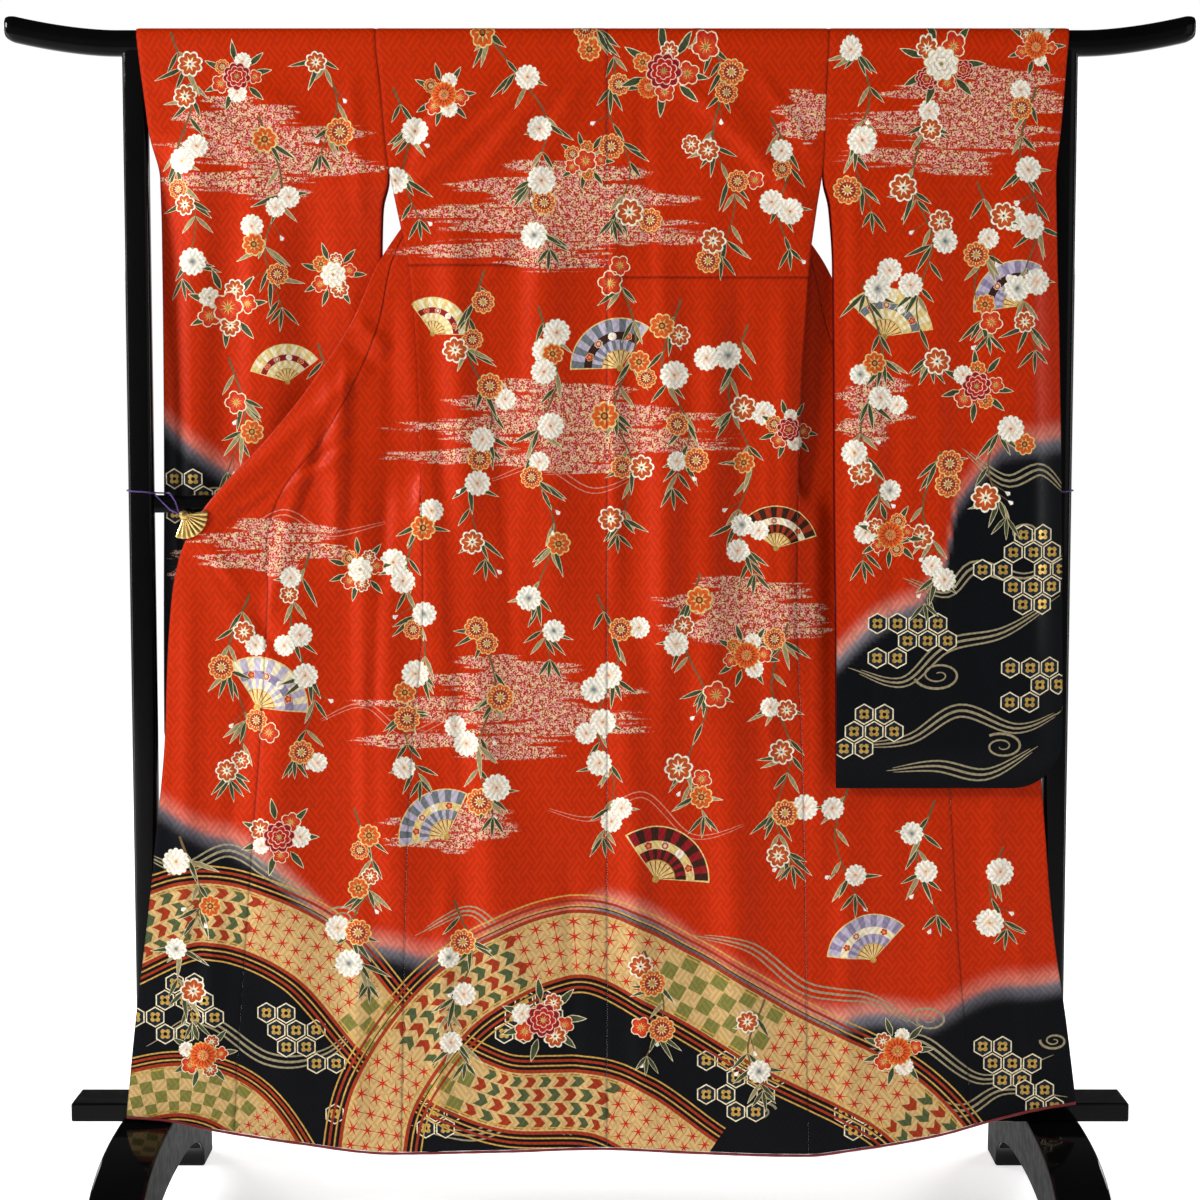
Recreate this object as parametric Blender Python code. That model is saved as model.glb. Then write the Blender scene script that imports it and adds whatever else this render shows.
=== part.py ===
"""A furisode kimono opened out flat and hung, back to the viewer, on a lacquered kimono stand.

X runs to the viewer's right, -Y towards the viewer, Z up. The origin is on the floor, midway between
the two posts. Each sewn piece and each piece of the stand is one named object. Cloth is a wall of
even thickness: a table gives its outline, its path over the rail and its folds, and a grid of points
worked out from them is thickened. "Out" means away from the centre back seam, on either side.
"""
import math
from collections import namedtuple

import bmesh
import bpy
from mathutils import Vector

for item in list(bpy.data.objects):
    bpy.data.objects.remove(item, do_unlink=True)

GAP = 0.0003
CLOTH = 0.0016
LEFT, RIGHT = -1, 1

# Stand: sizes of its lacquered members
RAIL_REACH, RAIL_TALL, RAIL_DEEP = 0.822, 0.036, 0.028
RAIL_CENTRE = 1.662
TIP_START, TIP_RISE = 0.668, 0.022
POST_X, POST_WIDE, POST_DEEP, POST_SQUARENESS = 0.643, 0.036, 0.026, 3.0
MIDDLE_CENTRE, MIDDLE_TALL, MIDDLE_DEEP = 1.0255, 0.025, 0.018
FOOT_CROWN, FOOT_WIDE, FOOT_REACH = 0.150, 0.075, 0.315
ARCH_CLEAR, ARCH_REACH = 0.072, 0.235
BOARD_REACH, BOARD_TALL, BOARD_DEEP = 0.750, 0.027, 0.075
BOARD_LOW = FOOT_CROWN + GAP
BOARD_TOP = BOARD_LOW + BOARD_TALL

# Garment: sizes that the maker cuts and sews to
NECK_HALF, NECK_DROP = 0.090, 1.660
BACK_SEAM = 0.010
SLEEVE_JOIN, CUFF_END, SLEEVE_END = 1.503, 1.477, 0.630
SLEEVE_ROUND, CUFF_FRONT = 0.070, 0.612
ARMHOLE_END = 1.360
OVERLAP_TIP = 1.440
COLLAR_END, COLLAR_WIDE = 0.900, 0.055
TURN_RADIUS = 0.004
ROLL_RADIUS = 0.0019
OVER_RAIL_DEEP = RAIL_DEEP / 2 + 0.0010 + CLOTH / 2
OVER_RAIL_TALL = RAIL_TALL / 2 + 0.0010 + CLOTH / 2
RAIL_SQUARENESS = 2.5

# Edges of the body and of the opened fronts on each side, as distances out from the middle
Edge = namedtuple("Edge", "height side front_edge")
EDGES = {
    LEFT: (
        Edge(1.690, 0.310, 0.0900), Edge(1.660, 0.309, 0.0905), Edge(1.600, 0.303, 0.145),
        Edge(1.503, 0.294, 0.214), Edge(1.430, 0.280, 0.262), Edge(1.360, 0.266, 0.308),
        Edge(1.280, 0.258, 0.345), Edge(1.200, 0.254, 0.398), Edge(1.120, 0.251, 0.462),
        Edge(1.050, 0.250, 0.528), Edge(1.000, 0.248, 0.566), Edge(0.950, 0.247, 0.588),
        Edge(0.900, 0.247, 0.598), Edge(0.800, 0.252, 0.606), Edge(0.700, 0.262, 0.610),
        Edge(0.550, 0.270, 0.625), Edge(0.400, 0.275, 0.640), Edge(0.250, 0.278, 0.656),
        Edge(0.100, 0.281, 0.669)),
    RIGHT: (
        Edge(1.690, 0.316, 0.0900), Edge(1.660, 0.315, 0.0905), Edge(1.600, 0.312, 0.145),
        Edge(1.503, 0.309, 0.214), Edge(1.430, 0.299, 0.262), Edge(1.360, 0.290, 0.312),
        Edge(1.280, 0.285, 0.352), Edge(1.200, 0.280, 0.405), Edge(1.120, 0.278, 0.468),
        Edge(1.050, 0.276, 0.530), Edge(1.000, 0.275, 0.566), Edge(0.950, 0.275, 0.590),
        Edge(0.900, 0.275, 0.602), Edge(0.800, 0.278, 0.611), Edge(0.700, 0.283, 0.616),
        Edge(0.550, 0.287, 0.627), Edge(0.400, 0.290, 0.639), Edge(0.250, 0.292, 0.657),
        Edge(0.100, 0.295, 0.672)),
}
# Cut widths of the front panel and of the overlap panel, side seam to front edge
Cut = namedtuple("Cut", "height front overlap")
CUTS = (
    Cut(1.690, 0.222, 0.000), Cut(1.503, 0.218, 0.000), Cut(1.450, 0.215, 0.003),
    Cut(1.200, 0.215, 0.058), Cut(1.050, 0.217, 0.095), Cut(0.950, 0.218, 0.122),
    Cut(0.900, 0.218, 0.135), Cut(0.500, 0.226, 0.142), Cut(0.100, 0.234, 0.150))
# Depths of the body's layers: back panel, front panel behind it, and the opened front on each side
Depth = namedtuple("Depth", "height back behind open_left open_right")
DEPTHS = (
    Depth(1.690, -OVER_RAIL_DEEP, OVER_RAIL_DEEP, OVER_RAIL_DEEP, OVER_RAIL_DEEP),
    Depth(1.640, -OVER_RAIL_DEEP, OVER_RAIL_DEEP, OVER_RAIL_DEEP, OVER_RAIL_DEEP),
    Depth(1.600, -0.0165, 0.0140, 0.0180, 0.0180), Depth(1.503, -0.0185, 0.0060, 0.0120, 0.0120),
    Depth(1.430, -0.0200, -0.0050, 0.0000, 0.0020), Depth(1.360, -0.0220, -0.0155, -0.0080, -0.0045),
    Depth(1.280, -0.0232, -0.0170, -0.0095, -0.0060), Depth(1.200, -0.0240, -0.0178, -0.0110, -0.0080),
    Depth(1.120, -0.0250, -0.0190, -0.0150, -0.0120), Depth(1.060, -0.0258, -0.0198, -0.0190, -0.0150),
    Depth(1.000, -0.0265, -0.0205, -0.0215, -0.0158), Depth(0.900, -0.0280, -0.0220, -0.0250, -0.0168),
    Depth(0.800, -0.0300, -0.0240, -0.0280, -0.0190), Depth(0.700, -0.0325, -0.0265, -0.0310, -0.0235),
    Depth(0.600, -0.0355, -0.0295, -0.0340, -0.0300), Depth(0.500, -0.0385, -0.0325, -0.0370, -0.0360),
    Depth(0.300, -0.0450, -0.0390, -0.0430, -0.0430), Depth(0.100, -0.0500, -0.0440, -0.0480, -0.0480))
# Sleeve outlines and the depths of their two walls, and of the seam round the outer edge
Sleeve = namedtuple("Sleeve", "height inner outer near far seam")
SLEEVES = {
    LEFT: (
        Sleeve(1.690, 0.3103, 0.640, -OVER_RAIL_DEEP, OVER_RAIL_DEEP, 0.000),
        Sleeve(1.640, 0.3083, 0.635, -OVER_RAIL_DEEP, OVER_RAIL_DEEP, 0.000),
        Sleeve(1.600, 0.3040, 0.630, -0.0165, 0.0170, 0.000),
        Sleeve(1.530, 0.2970, 0.621, -0.0172, 0.0190, 0.001),
        Sleeve(1.477, 0.2965, 0.611, -0.0160, 0.0215, 0.003),
        Sleeve(1.430, 0.3030, 0.611, -0.0080, 0.0265, 0.009),
        Sleeve(1.370, 0.3050, 0.612, 0.0010, 0.0310, 0.016),
        Sleeve(1.280, 0.3040, 0.613, 0.0070, 0.0350, 0.021),
        Sleeve(1.200, 0.3030, 0.614, 0.0105, 0.0380, 0.024),
        Sleeve(1.050, 0.3020, 0.616, 0.0135, 0.0410, 0.027),
        Sleeve(0.800, 0.3040, 0.620, 0.0150, 0.0400, 0.0275),
        Sleeve(0.630, 0.3080, 0.621, 0.0180, 0.0370, 0.0275)),
    RIGHT: (
        Sleeve(1.690, 0.3163, 0.647, -OVER_RAIL_DEEP, OVER_RAIL_DEEP, 0.000),
        Sleeve(1.640, 0.3153, 0.643, -OVER_RAIL_DEEP, OVER_RAIL_DEEP, 0.000),
        Sleeve(1.600, 0.3130, 0.640, -0.0180, 0.0160, -0.005),
        Sleeve(1.530, 0.3110, 0.634, -0.0215, 0.0155, -0.012),
        Sleeve(1.477, 0.3120, 0.630, -0.0250, 0.0120, -0.0175),
        Sleeve(1.430, 0.3180, 0.631, -0.0285, 0.0040, -0.0185),
        Sleeve(1.360, 0.3220, 0.633, -0.0335, -0.0085, -0.0200),
        Sleeve(1.280, 0.3230, 0.636, -0.0370, -0.0115, -0.0225),
        Sleeve(1.200, 0.3240, 0.638, -0.0410, -0.0150, -0.0260),
        Sleeve(1.050, 0.3250, 0.641, -0.0470, -0.0220, -0.0330),
        Sleeve(0.800, 0.3290, 0.645, -0.0510, -0.0265, -0.0390),
        Sleeve(0.630, 0.3300, 0.646, -0.0540, -0.0370, -0.0450)),
}
# Lower edge of the garment across its width, from the viewer's left to the right
Hem = namedtuple("Hem", "across height")
HEM = (
    Hem(-0.670, 0.1630), Hem(-0.600, 0.1565), Hem(-0.560, 0.1470), Hem(-0.430, 0.1260),
    Hem(-0.300, 0.1110), Hem(-0.140, 0.1140), Hem(0.000, 0.1180), Hem(0.140, 0.1120), Hem(0.290, 0.1080),
    Hem(0.370, 0.1170), Hem(0.480, 0.1370), Hem(0.550, 0.1570), Hem(0.610, 0.1720), Hem(0.675, 0.1840))
HEM_LEVEL, HEM_FADE = 0.100, 0.500
# Largest soft folds: ridges towards the viewer, or troughs where the depth is negative
Fold = namedtuple("Fold", "piece top_x top_z foot_x foot_z width depth")
FOLDS = (
    Fold("body", 0.018, 1.450, 0.022, 0.900, 0.013, 0.0045),
    Fold("body", -0.130, 1.640, -0.262, 1.500, 0.018, 0.0035),
    Fold("body", -0.265, 1.300, -0.225, 0.700, 0.016, 0.0045),
    Fold("body", -0.190, 1.280, -0.165, 0.620, 0.022, 0.0030),
    Fold("body", 0.150, 1.600, 0.130, 0.750, 0.026, 0.0025),
    Fold("body", 0.255, 1.320, 0.262, 0.760, 0.016, 0.0040),
    Fold("body", -0.374, 1.200, -0.370, 0.930, 0.015, 0.0045),
    Fold("body", -0.395, 1.130, -0.470, 0.860, 0.014, 0.0045),
    Fold("body", -0.555, 1.010, -0.330, 1.215, 0.014, 0.0035),
    Fold("body", -0.560, 0.990, -0.420, 0.700, 0.020, 0.0035),
    Fold("body", -0.130, 0.600, -0.115, 0.120, 0.030, 0.0050),
    Fold("body", -0.420, 0.560, -0.440, 0.130, 0.030, 0.0045),
    Fold("body", 0.200, 0.560, 0.215, 0.120, 0.030, 0.0045),
    Fold("body", 0.470, 0.600, 0.495, 0.150, 0.028, 0.0045),
    Fold("sleeve_left", -0.530, 1.640, -0.380, 1.520, 0.020, 0.0035),
    Fold("sleeve_left", -0.400, 1.480, -0.420, 0.720, 0.026, -0.0040),
    Fold("sleeve_left", -0.520, 1.420, -0.540, 0.760, 0.024, -0.0035),
    Fold("sleeve_right", 0.560, 1.640, 0.350, 1.520, 0.018, 0.0055),
    Fold("sleeve_right", 0.600, 1.600, 0.380, 1.440, 0.018, 0.0045),
    Fold("sleeve_right", 0.420, 1.400, 0.430, 0.720, 0.024, 0.0045),
    Fold("sleeve_right", 0.540, 1.330, 0.555, 0.760, 0.026, 0.0040))
FOLD_TOP, FOLD_FULL = 1.645, 1.580
# Above this height the front lies in one layer, straight down from the rail
SINGLE_ABOVE = 1.565

FINISHES = {
    "silk": ((0.58, 0.045, 0.012), 0.45, 0.0),
    "dark_red_silk": ((0.26, 0.012, 0.016), 0.45, 0.0),
    "lacquer": ((0.006, 0.006, 0.007), 0.08, 0.0),
    "gilt": ((0.78, 0.56, 0.20), 0.28, 1.0),
    "purple_cord": ((0.045, 0.015, 0.12), 0.7, 0.0),
}


def smooth(value):
    """An even ease from 0 to 1."""
    value = min(max(value, 0.0), 1.0)
    return value * value * (3.0 - 2.0 * value)


def mix(first, second, share):
    return first + (second - first) * share


def read(rows, column, height):
    """A table's value at a height, on a curve that never overshoots its rows."""
    points = sorted((row[0], getattr(row, column)) for row in rows)
    if height <= points[0][0]:
        return points[0][1]
    if height >= points[-1][0]:
        return points[-1][1]
    slopes = [(b[1] - a[1]) / (b[0] - a[0]) for a, b in zip(points, points[1:])]
    spot = next(i for i in range(len(slopes)) if height <= points[i + 1][0])
    before = slopes[max(spot - 1, 0)]
    after = slopes[min(spot + 1, len(slopes) - 1)]
    here = slopes[spot]
    start = 0.0 if before * here <= 0 else 2 * before * here / (before + here)
    end = 0.0 if here * after <= 0 else 2 * here * after / (here + after)
    span = points[spot + 1][0] - points[spot][0]
    t = (height - points[spot][0]) / span
    return (points[spot][1] * (1 + 2 * t) * (1 - t) ** 2 + span * start * t * (1 - t) ** 2
            + points[spot + 1][1] * t * t * (3 - 2 * t) + span * end * t * t * (t - 1))


def oval(turn, deep, tall, squareness=RAIL_SQUARENESS):
    """A point on a quarter of a rounded section: 0 is its top, 1 its side."""
    angle = turn * math.pi / 2
    power = 2.0 / squareness
    return deep * math.sin(angle) ** power, tall * math.cos(angle) ** power


def finish(obj, name):
    """Gives an object its plain finish."""
    material = bpy.data.materials.get(name)
    if material is None:
        colour, roughness, metallic = FINISHES[name]
        material = bpy.data.materials.new(name)
        material.use_nodes = True
        shader = material.node_tree.nodes["Principled BSDF"]
        shader.inputs["Base Color"].default_value = (*colour, 1.0)
        shader.inputs["Roughness"].default_value = roughness
        shader.inputs["Metallic"].default_value = metallic
    obj.data.materials.append(material)


def add(name, points, faces, material, soft=True):
    """A closed object from its points and faces."""
    mesh = bpy.data.meshes.new(name)
    mesh.from_pydata([tuple(p) for p in points], [], faces)
    work = bmesh.new()
    work.from_mesh(mesh)
    bmesh.ops.recalc_face_normals(work, faces=work.faces)
    work.to_mesh(mesh)
    work.free()
    if soft:
        mesh.shade_smooth()
        mesh.set_sharp_from_angle(angle=math.radians(40))
    obj = bpy.data.objects.new(name, mesh)
    bpy.context.collection.objects.link(obj)
    finish(obj, material)
    return obj


def facings(grid, square_columns=(), upright_rows=()):
    """The direction across a wall at each point of its grid."""
    count, wide = len(grid), len(grid[0])
    result = []
    for i, row in enumerate(grid):
        line = []
        for j in range(wide):
            down = grid[min(i + 1, count - 1)][j] - grid[max(i - 1, 0)][j]
            along = row[min(j + 1, wide - 1)] - row[max(j - 1, 0)]
            if j in square_columns:
                along = Vector((math.copysign(1.0, along.x), 0, 0))
            facing = along.cross(down)
            if i in upright_rows:
                facing = Vector((0, 0, math.copysign(1.0, facing.z)))
            line.append(facing.normalized())
        result.append(line)
    return result


def wall(name, grid, material="silk", square_columns=None, upright_rows=()):
    """A closed wall of cloth, thickened to both sides of a grid of points."""
    count, wide = len(grid), len(grid[0])
    if square_columns is None:
        square_columns = (0, wide - 1)
    across = facings(grid, square_columns, upright_rows)
    points = []
    for side in (0.5, -0.5):
        for i in range(count):
            points += [grid[i][j] + across[i][j] * (CLOTH * side) for j in range(wide)]
    size = count * wide
    faces = []
    for i in range(count - 1):
        for j in range(wide - 1):
            a = i * wide + j
            faces.append((a, a + wide, a + wide + 1, a + 1))
            faces.append((size + a, size + a + 1, size + a + wide + 1, size + a + wide))
    rim = [j for j in range(wide)] + [i * wide + wide - 1 for i in range(1, count)]
    rim += [(count - 1) * wide + j for j in range(wide - 2, -1, -1)]
    rim += [i * wide for i in range(count - 2, 0, -1)]
    for a, b in zip(rim, rim[1:] + rim[:1]):
        faces.append((a, b, size + b, size + a))
    return add(name, points, faces, material)


def fold_depth(piece, x, z):
    """How far the named piece's largest folds stand towards the viewer at a place."""
    total = 0.0
    for fold in FOLDS:
        if fold.piece != piece:
            continue
        along_x, along_z = fold.foot_x - fold.top_x, fold.foot_z - fold.top_z
        length = math.hypot(along_x, along_z)
        share = ((x - fold.top_x) * along_x + (z - fold.top_z) * along_z) / length ** 2
        away = ((x - fold.top_x) * along_z - (z - fold.top_z) * along_x) / length
        ends = smooth((share + 0.12) / 0.30) * smooth((1.12 - share) / 0.30)
        total += fold.depth * ends * math.exp(-(away / fold.width) ** 2)
    return total * smooth((FOLD_TOP - z) / (FOLD_TOP - FOLD_FULL))


def over_rail_rows(heights, turns=(0.22, 0.45, 0.68, 0.86)):
    """Rows of a wall that starts on the rail's ridge: its turn over the rail, then heights."""
    ridge = math.asin((GAP / 2 / OVER_RAIL_DEEP) ** (RAIL_SQUARENESS / 2)) / (math.pi / 2)
    return [(turn, 0.0) for turn in (ridge, *turns)] + [(1.0, height) for height in heights]


def row_height(turn, height, deep=OVER_RAIL_DEEP):
    if turn < 1.0:
        return RAIL_CENTRE + oval(turn, deep, OVER_RAIL_TALL)[1]
    return height


def to_hem(x, z):
    """Stretches the lowest stretch of a panel so that it ends on the hem's line."""
    if z >= HEM_FADE:
        return z
    share = (HEM_FADE - z) / (HEM_FADE - HEM_LEVEL)
    return z + (read(HEM, "height", x) - HEM_LEVEL) * share


def back_depth(x, z):
    return read(DEPTHS, "back", z) - fold_depth("body", x, z)


BODY_HEIGHTS = (1.662, 1.635, 1.600, 1.555, 1.503, 1.455, 1.410, 1.360, 1.310, 1.255, 1.200, 1.150, 1.105,
                1.070, 1.040, 1.010, 0.970, 0.920, 0.860, 0.790, 0.710, 0.620, 0.530, 0.440, 0.350, 0.260,
                0.175, 0.100)


def back_panel(name, side):
    """One back panel, from the rail's ridge to the hem."""
    columns = 9
    grid = []
    for turn, height in over_rail_rows(BODY_HEIGHTS):
        z = row_height(turn, height)
        inner = BACK_SEAM * side + GAP / 2
        outer = read(EDGES[side], "side", z) - GAP / 2
        row = []
        for j in range(columns):
            x = side * mix(inner, outer, j / (columns - 1))
            if turn < 1.0:
                y = -oval(turn, OVER_RAIL_DEEP, OVER_RAIL_TALL)[0]
            else:
                y = back_depth(x, z)
            row.append(Vector((x, y, to_hem(x, z))))
        grid.append(row)
    return wall(name, grid, upright_rows=(0,))


def open_depth(side, z):
    return read(DEPTHS, "open_left" if side == LEFT else "open_right", z)


def flatness(z):
    """1 where the front hangs in one layer, 0 where its edge is turned outwards over itself."""
    return max(smooth((z - 1.575) / 0.065), 1 - smooth((z - 1.000) / 0.120))


def front_start(side, z):
    """Where the front begins: beside the sleeve above the armhole, beside the back panel below it."""
    return read(EDGES[side], "side", z) + GAP / 2 - GAP * smooth((z - ARMHOLE_END) / 0.060)


def front_place(side, run, z):
    """A place on the opened front, a run of cloth away from the side seam."""
    cut = read(CUTS, "front", z) + read(CUTS, "overlap", z)
    seam = front_start(side, z)
    reach = read(EDGES[side], "front_edge", z) - seam
    flat = flatness(z)
    inward = (cut - math.pi * TURN_RADIUS - reach) / 2
    turn = (run - inward) / TURN_RADIUS
    if turn < 0:
        folded, lift = -run, 0.0
    elif turn < math.pi:
        folded, lift = -inward - TURN_RADIUS * math.sin(turn), TURN_RADIUS * (1 - math.cos(turn))
    else:
        folded, lift = run - 2 * inward - math.pi * TURN_RADIUS, 2 * TURN_RADIUS
    out = seam + mix(folded, reach * run / cut, flat)
    behind, back = read(DEPTHS, "behind", z), read(DEPTHS, "back", z)
    joined = back + (CLOTH + GAP) * (1 - smooth((flat - 0.55) / 0.40))
    start = mix(joined, behind, smooth((z - ARMHOLE_END) / 0.060))
    if z > SINGLE_ABOVE:
        one_layer = behind
    else:
        one_layer = mix(start, open_depth(side, z), smooth(run / 0.060))
    folded_depth = mix(start, behind, smooth(run / 0.020)) + lift
    beyond = smooth((out - seam) / 0.060)
    if turn >= math.pi:
        folded_depth = mix(folded_depth, open_depth(side, z), beyond)
    return out, mix(folded_depth, one_layer, flat)


def front_runs(side, z):
    """Runs of cloth at the front panel's columns, close together round its turned fold."""
    panel = read(CUTS, "front", z)
    cut = panel + read(CUTS, "overlap", z)
    reach = read(EDGES[side], "front_edge", z) - front_start(side, z)
    bend = math.pi * TURN_RADIUS
    start = min(max((cut - bend - reach) / 2, 0.020), panel - bend - 0.012)
    runs = [start * share for share in (0.0, 0.10, 0.40, 0.72)]
    runs += [start + bend * share for share in (0.0, 0.25, 0.5, 0.75, 1.0)]
    rest = panel - GAP / 2 - start - bend
    return runs + [start + bend + rest * share for share in (0.2, 0.4, 0.6, 0.8, 1.0)]


def front_point(side, run, z):
    out, depth = front_place(side, run, z)
    x = side * out
    return Vector((x, depth - fold_depth("body", x, z), to_hem(x, z)))


def front_panel(name, side):
    """The front panel: over the rail, down behind the back panel, and opened out to its side."""
    grid = []
    for turn, height in over_rail_rows(BODY_HEIGHTS):
        z = row_height(turn, height)
        row = []
        for run in front_runs(side, z):
            point = front_point(side, run, z)
            if turn < 1.0:
                point.y = oval(turn, OVER_RAIL_DEEP, OVER_RAIL_TALL)[0]
            row.append(point)
        grid.append(row)
    return wall(name, grid, upright_rows=(0,))


OVERLAP_HEIGHTS = (OVERLAP_TIP, 1.410, 1.360, 1.310, 1.255, 1.200, 1.150, 1.105, 1.070, 1.040, 1.010, 0.970,
                   0.920, 0.860, 0.790, 0.710, 0.620, 0.530, 0.440, 0.350, 0.260, 0.175, 0.100)


def overlap_panel(name, side):
    """The overlap panel, sewn along the front panel and tapering up to the collar."""
    columns = 6
    grid = []
    for z in OVERLAP_HEIGHTS:
        start = read(CUTS, "front", z) + GAP / 2
        width = read(CUTS, "overlap", z) - GAP / 2
        grid.append([front_point(side, start + width * j / (columns - 1), z) for j in range(columns)])
    return wall(name, grid)


def outer_layer(side, out, z):
    """Depth of the farthest layer of the opened front at a place."""
    seam = read(EDGES[side], "side", z)
    turned = read(DEPTHS, "behind", z) + 2 * TURN_RADIUS * (1 - flatness(z))
    return mix(turned, open_depth(side, z), smooth((out - seam) / 0.060))


COLLAR_HEIGHTS = (NECK_DROP, 1.635, 1.610, 1.580, 1.545, 1.500, 1.450, 1.400, 1.350, 1.300, 1.255, 1.200, 1.150,
                  1.105, 1.070, 1.040, 1.010, 0.970, 0.935, COLLAR_END)
COLLAR_LAY = CLOTH + 0.0011


def edge_at(side, z):
    return read(EDGES[side], "front_edge", z)


def collar_mitre():
    """The slanted end that the neck's stretch and the side's stretch share."""
    slope = (edge_at(LEFT, 1.600) - edge_at(LEFT, NECK_DROP)) / (NECK_DROP - 1.600)
    half_angle = math.atan(slope) / 2
    return -COLLAR_WIDE * math.tan(math.pi / 4 - half_angle), -COLLAR_WIDE


def collar_side(name, side):
    """The collar from the neck to its end, folded back on the far side of the front's edge."""
    columns = 4
    grid = []
    for i, z in enumerate(COLLAR_HEIGHTS):
        slope = (edge_at(side, z - 0.01) - edge_at(side, z + 0.01)) / 0.02
        length = math.hypot(1.0, slope)
        across = (-COLLAR_WIDE / length, -COLLAR_WIDE * slope / length)
        if z > 1.640:
            slope = (edge_at(side, 1.600) - edge_at(side, NECK_DROP)) / (NECK_DROP - 1.600)
        mitre = collar_mitre()
        share = smooth(i / 4)
        across = (mix(mitre[0], across[0], share), mix(mitre[1], across[1], share))
        row = []
        for j in range(columns):
            part = j / (columns - 1)
            out = edge_at(side, z) + across[0] * part + (GAP / 2 if i == 0 else 0.0)
            height = z + across[1] * part
            x = side * out
            row.append(Vector((x, outer_layer(side, out, height) + COLLAR_LAY, height)))
        grid.append(row)
    return wall(name, grid, square_columns=())


def collar_neck(name):
    """The collar round the back of the neck, over the rail and down its far side."""
    mitre = collar_mitre()
    deep = OVER_RAIL_DEEP + COLLAR_LAY
    columns = 6
    rows = over_rail_rows((RAIL_CENTRE, NECK_DROP - COLLAR_WIDE / 3, NECK_DROP - COLLAR_WIDE * 2 / 3,
                           NECK_DROP - COLLAR_WIDE))
    grid = []
    for turn, height in rows:
        z = row_height(turn, height)
        y = oval(turn, deep, OVER_RAIL_TALL)[0] if turn < 1.0 else deep
        half = NECK_HALF - GAP + mitre[0] * max(NECK_DROP - z, 0.0) / COLLAR_WIDE
        grid.append([Vector((mix(-half, half, j / (columns - 1)), y, z)) for j in range(columns)])
    return wall(name, grid, upright_rows=(0,))


SLEEVE_ROWS = (1.662, 1.635, 1.600, 1.555, 1.503, 1.477, 1.450, 1.410, 1.370, 1.320, 1.260, 1.200, 1.120,
               1.040, 0.960, 0.880, 0.800, 0.750, 0.710, 0.680, 0.655, SLEEVE_END)
SLEEVE_COLUMNS = (0.0, 0.14, 0.32, 0.50, 0.68, 0.82, 0.91, 0.97, 1.0)
SEAM_EASE = 0.045


def sleeve_foot(inner, outer, out):
    """Height of the sleeve's lower edge, round at its outer corner."""
    past = (out - (outer - SLEEVE_ROUND)) / SLEEVE_ROUND
    if past <= 0:
        return SLEEVE_END
    return SLEEVE_END + SLEEVE_ROUND * (1 - math.sqrt(max(1 - min(past, 1.0) ** 2, 0.0)))


def sleeve_inner(side, z):
    """Where a sleeve begins: on the body's edge where it is sewn on, and free below."""
    sewn = read(EDGES[side], "side", z) + GAP / 2
    return mix(sewn, read(SLEEVES[side], "inner", z), smooth((SLEEVE_JOIN - z) / 0.060))


def sleeve_wall(name, side, near):
    """One wall of a sleeve. The near wall faces the viewer, and both meet round the closed edges."""
    piece = "sleeve_left" if side == LEFT else "sleeve_right"
    table = SLEEVES[side]
    towards = -1 if near else 1
    grid = []
    for turn, height in over_rail_rows(SLEEVE_ROWS):
        level = row_height(turn, height)
        row = []
        for share in SLEEVE_COLUMNS:
            inner, outer = sleeve_inner(side, level), read(table, "outer", level)
            if not near and level > CUFF_END:
                outer = mix(CUFF_FRONT, outer, smooth((level - 1.600) / 0.040))
            out = mix(inner, outer, share)
            z = level
            if level < 0.800:
                foot = sleeve_foot(inner, outer, out)
                z = mix(0.800, foot, (0.800 - level) / (0.800 - SLEEVE_END))
            x = side * out
            if turn < 1.0:
                row.append(Vector((x, towards * oval(turn, OVER_RAIL_DEEP, OVER_RAIL_TALL)[0], z)))
                continue
            own = read(table, "near" if near else "far", z)
            joined = read(DEPTHS, "back" if near else "behind", z)
            held = smooth((z - 1.440) / 0.060) * (1 - smooth((out - inner) / 0.080))
            depth = mix(own, joined, held)
            seam = read(table, "seam", z) + towards * (CLOTH + GAP) / 2
            beside = 1 - smooth((outer - out) / SEAM_EASE)
            beside *= 1 - smooth((z - CUFF_END) / 0.070)
            above = z - (SLEEVE_END if z > 0.8 else sleeve_foot(inner, outer, out))
            below = 1 - smooth(above / 0.060)
            depth = mix(depth, seam, max(beside, below))
            row.append(Vector((x, depth - fold_depth(piece, x, z) * (1 - max(beside, below)), z)))
        grid.append(row)
    return wall(name, grid, upright_rows=(0,))


def hem_roll(name, panels):
    """The padded roll that shows under the hem, along the lowest points of the panels."""
    places = {}
    for panel in panels:
        for vertex in panel.data.vertices:
            point = vertex.co
            if point.z < to_hem(point.x, HEM_LEVEL) + CLOTH / 2:
                places.setdefault(round(point.x, 4), []).append(point)
    stations = [sum(places[key], Vector()) / len(places[key]) for key in sorted(places)]
    sides = 6
    points, faces = [], []
    for point in stations:
        for k in range(sides):
            angle = 2 * math.pi * (k + 0.5) / sides
            across = ROLL_RADIUS / math.cos(math.pi / sides)
            centre_z = point.z - 2 * GAP - ROLL_RADIUS
            points.append((point.x, point.y + across * math.cos(angle), centre_z + across * math.sin(angle)))
    for i in range(len(stations) - 1):
        for k in range(sides):
            a, b = i * sides + k, i * sides + (k + 1) % sides
            faces.append((a, b, b + sides, a + sides))
    faces.append(tuple(range(sides)))
    faces.append(tuple(range((len(stations) - 1) * sides, len(stations) * sides)))
    return add(name, points, faces, "dark_red_silk")


def rounded(count, wide, deep, squareness):
    """Points round a rounded section, starting on one side and turning once."""
    points = []
    for k in range(count):
        angle = 2 * math.pi * (k + 0.5) / count
        c, s = math.cos(angle), math.sin(angle)
        points.append((math.copysign(wide * abs(c) ** (2 / squareness), c),
                       math.copysign(deep * abs(s) ** (2 / squareness), s)))
    return points


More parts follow.
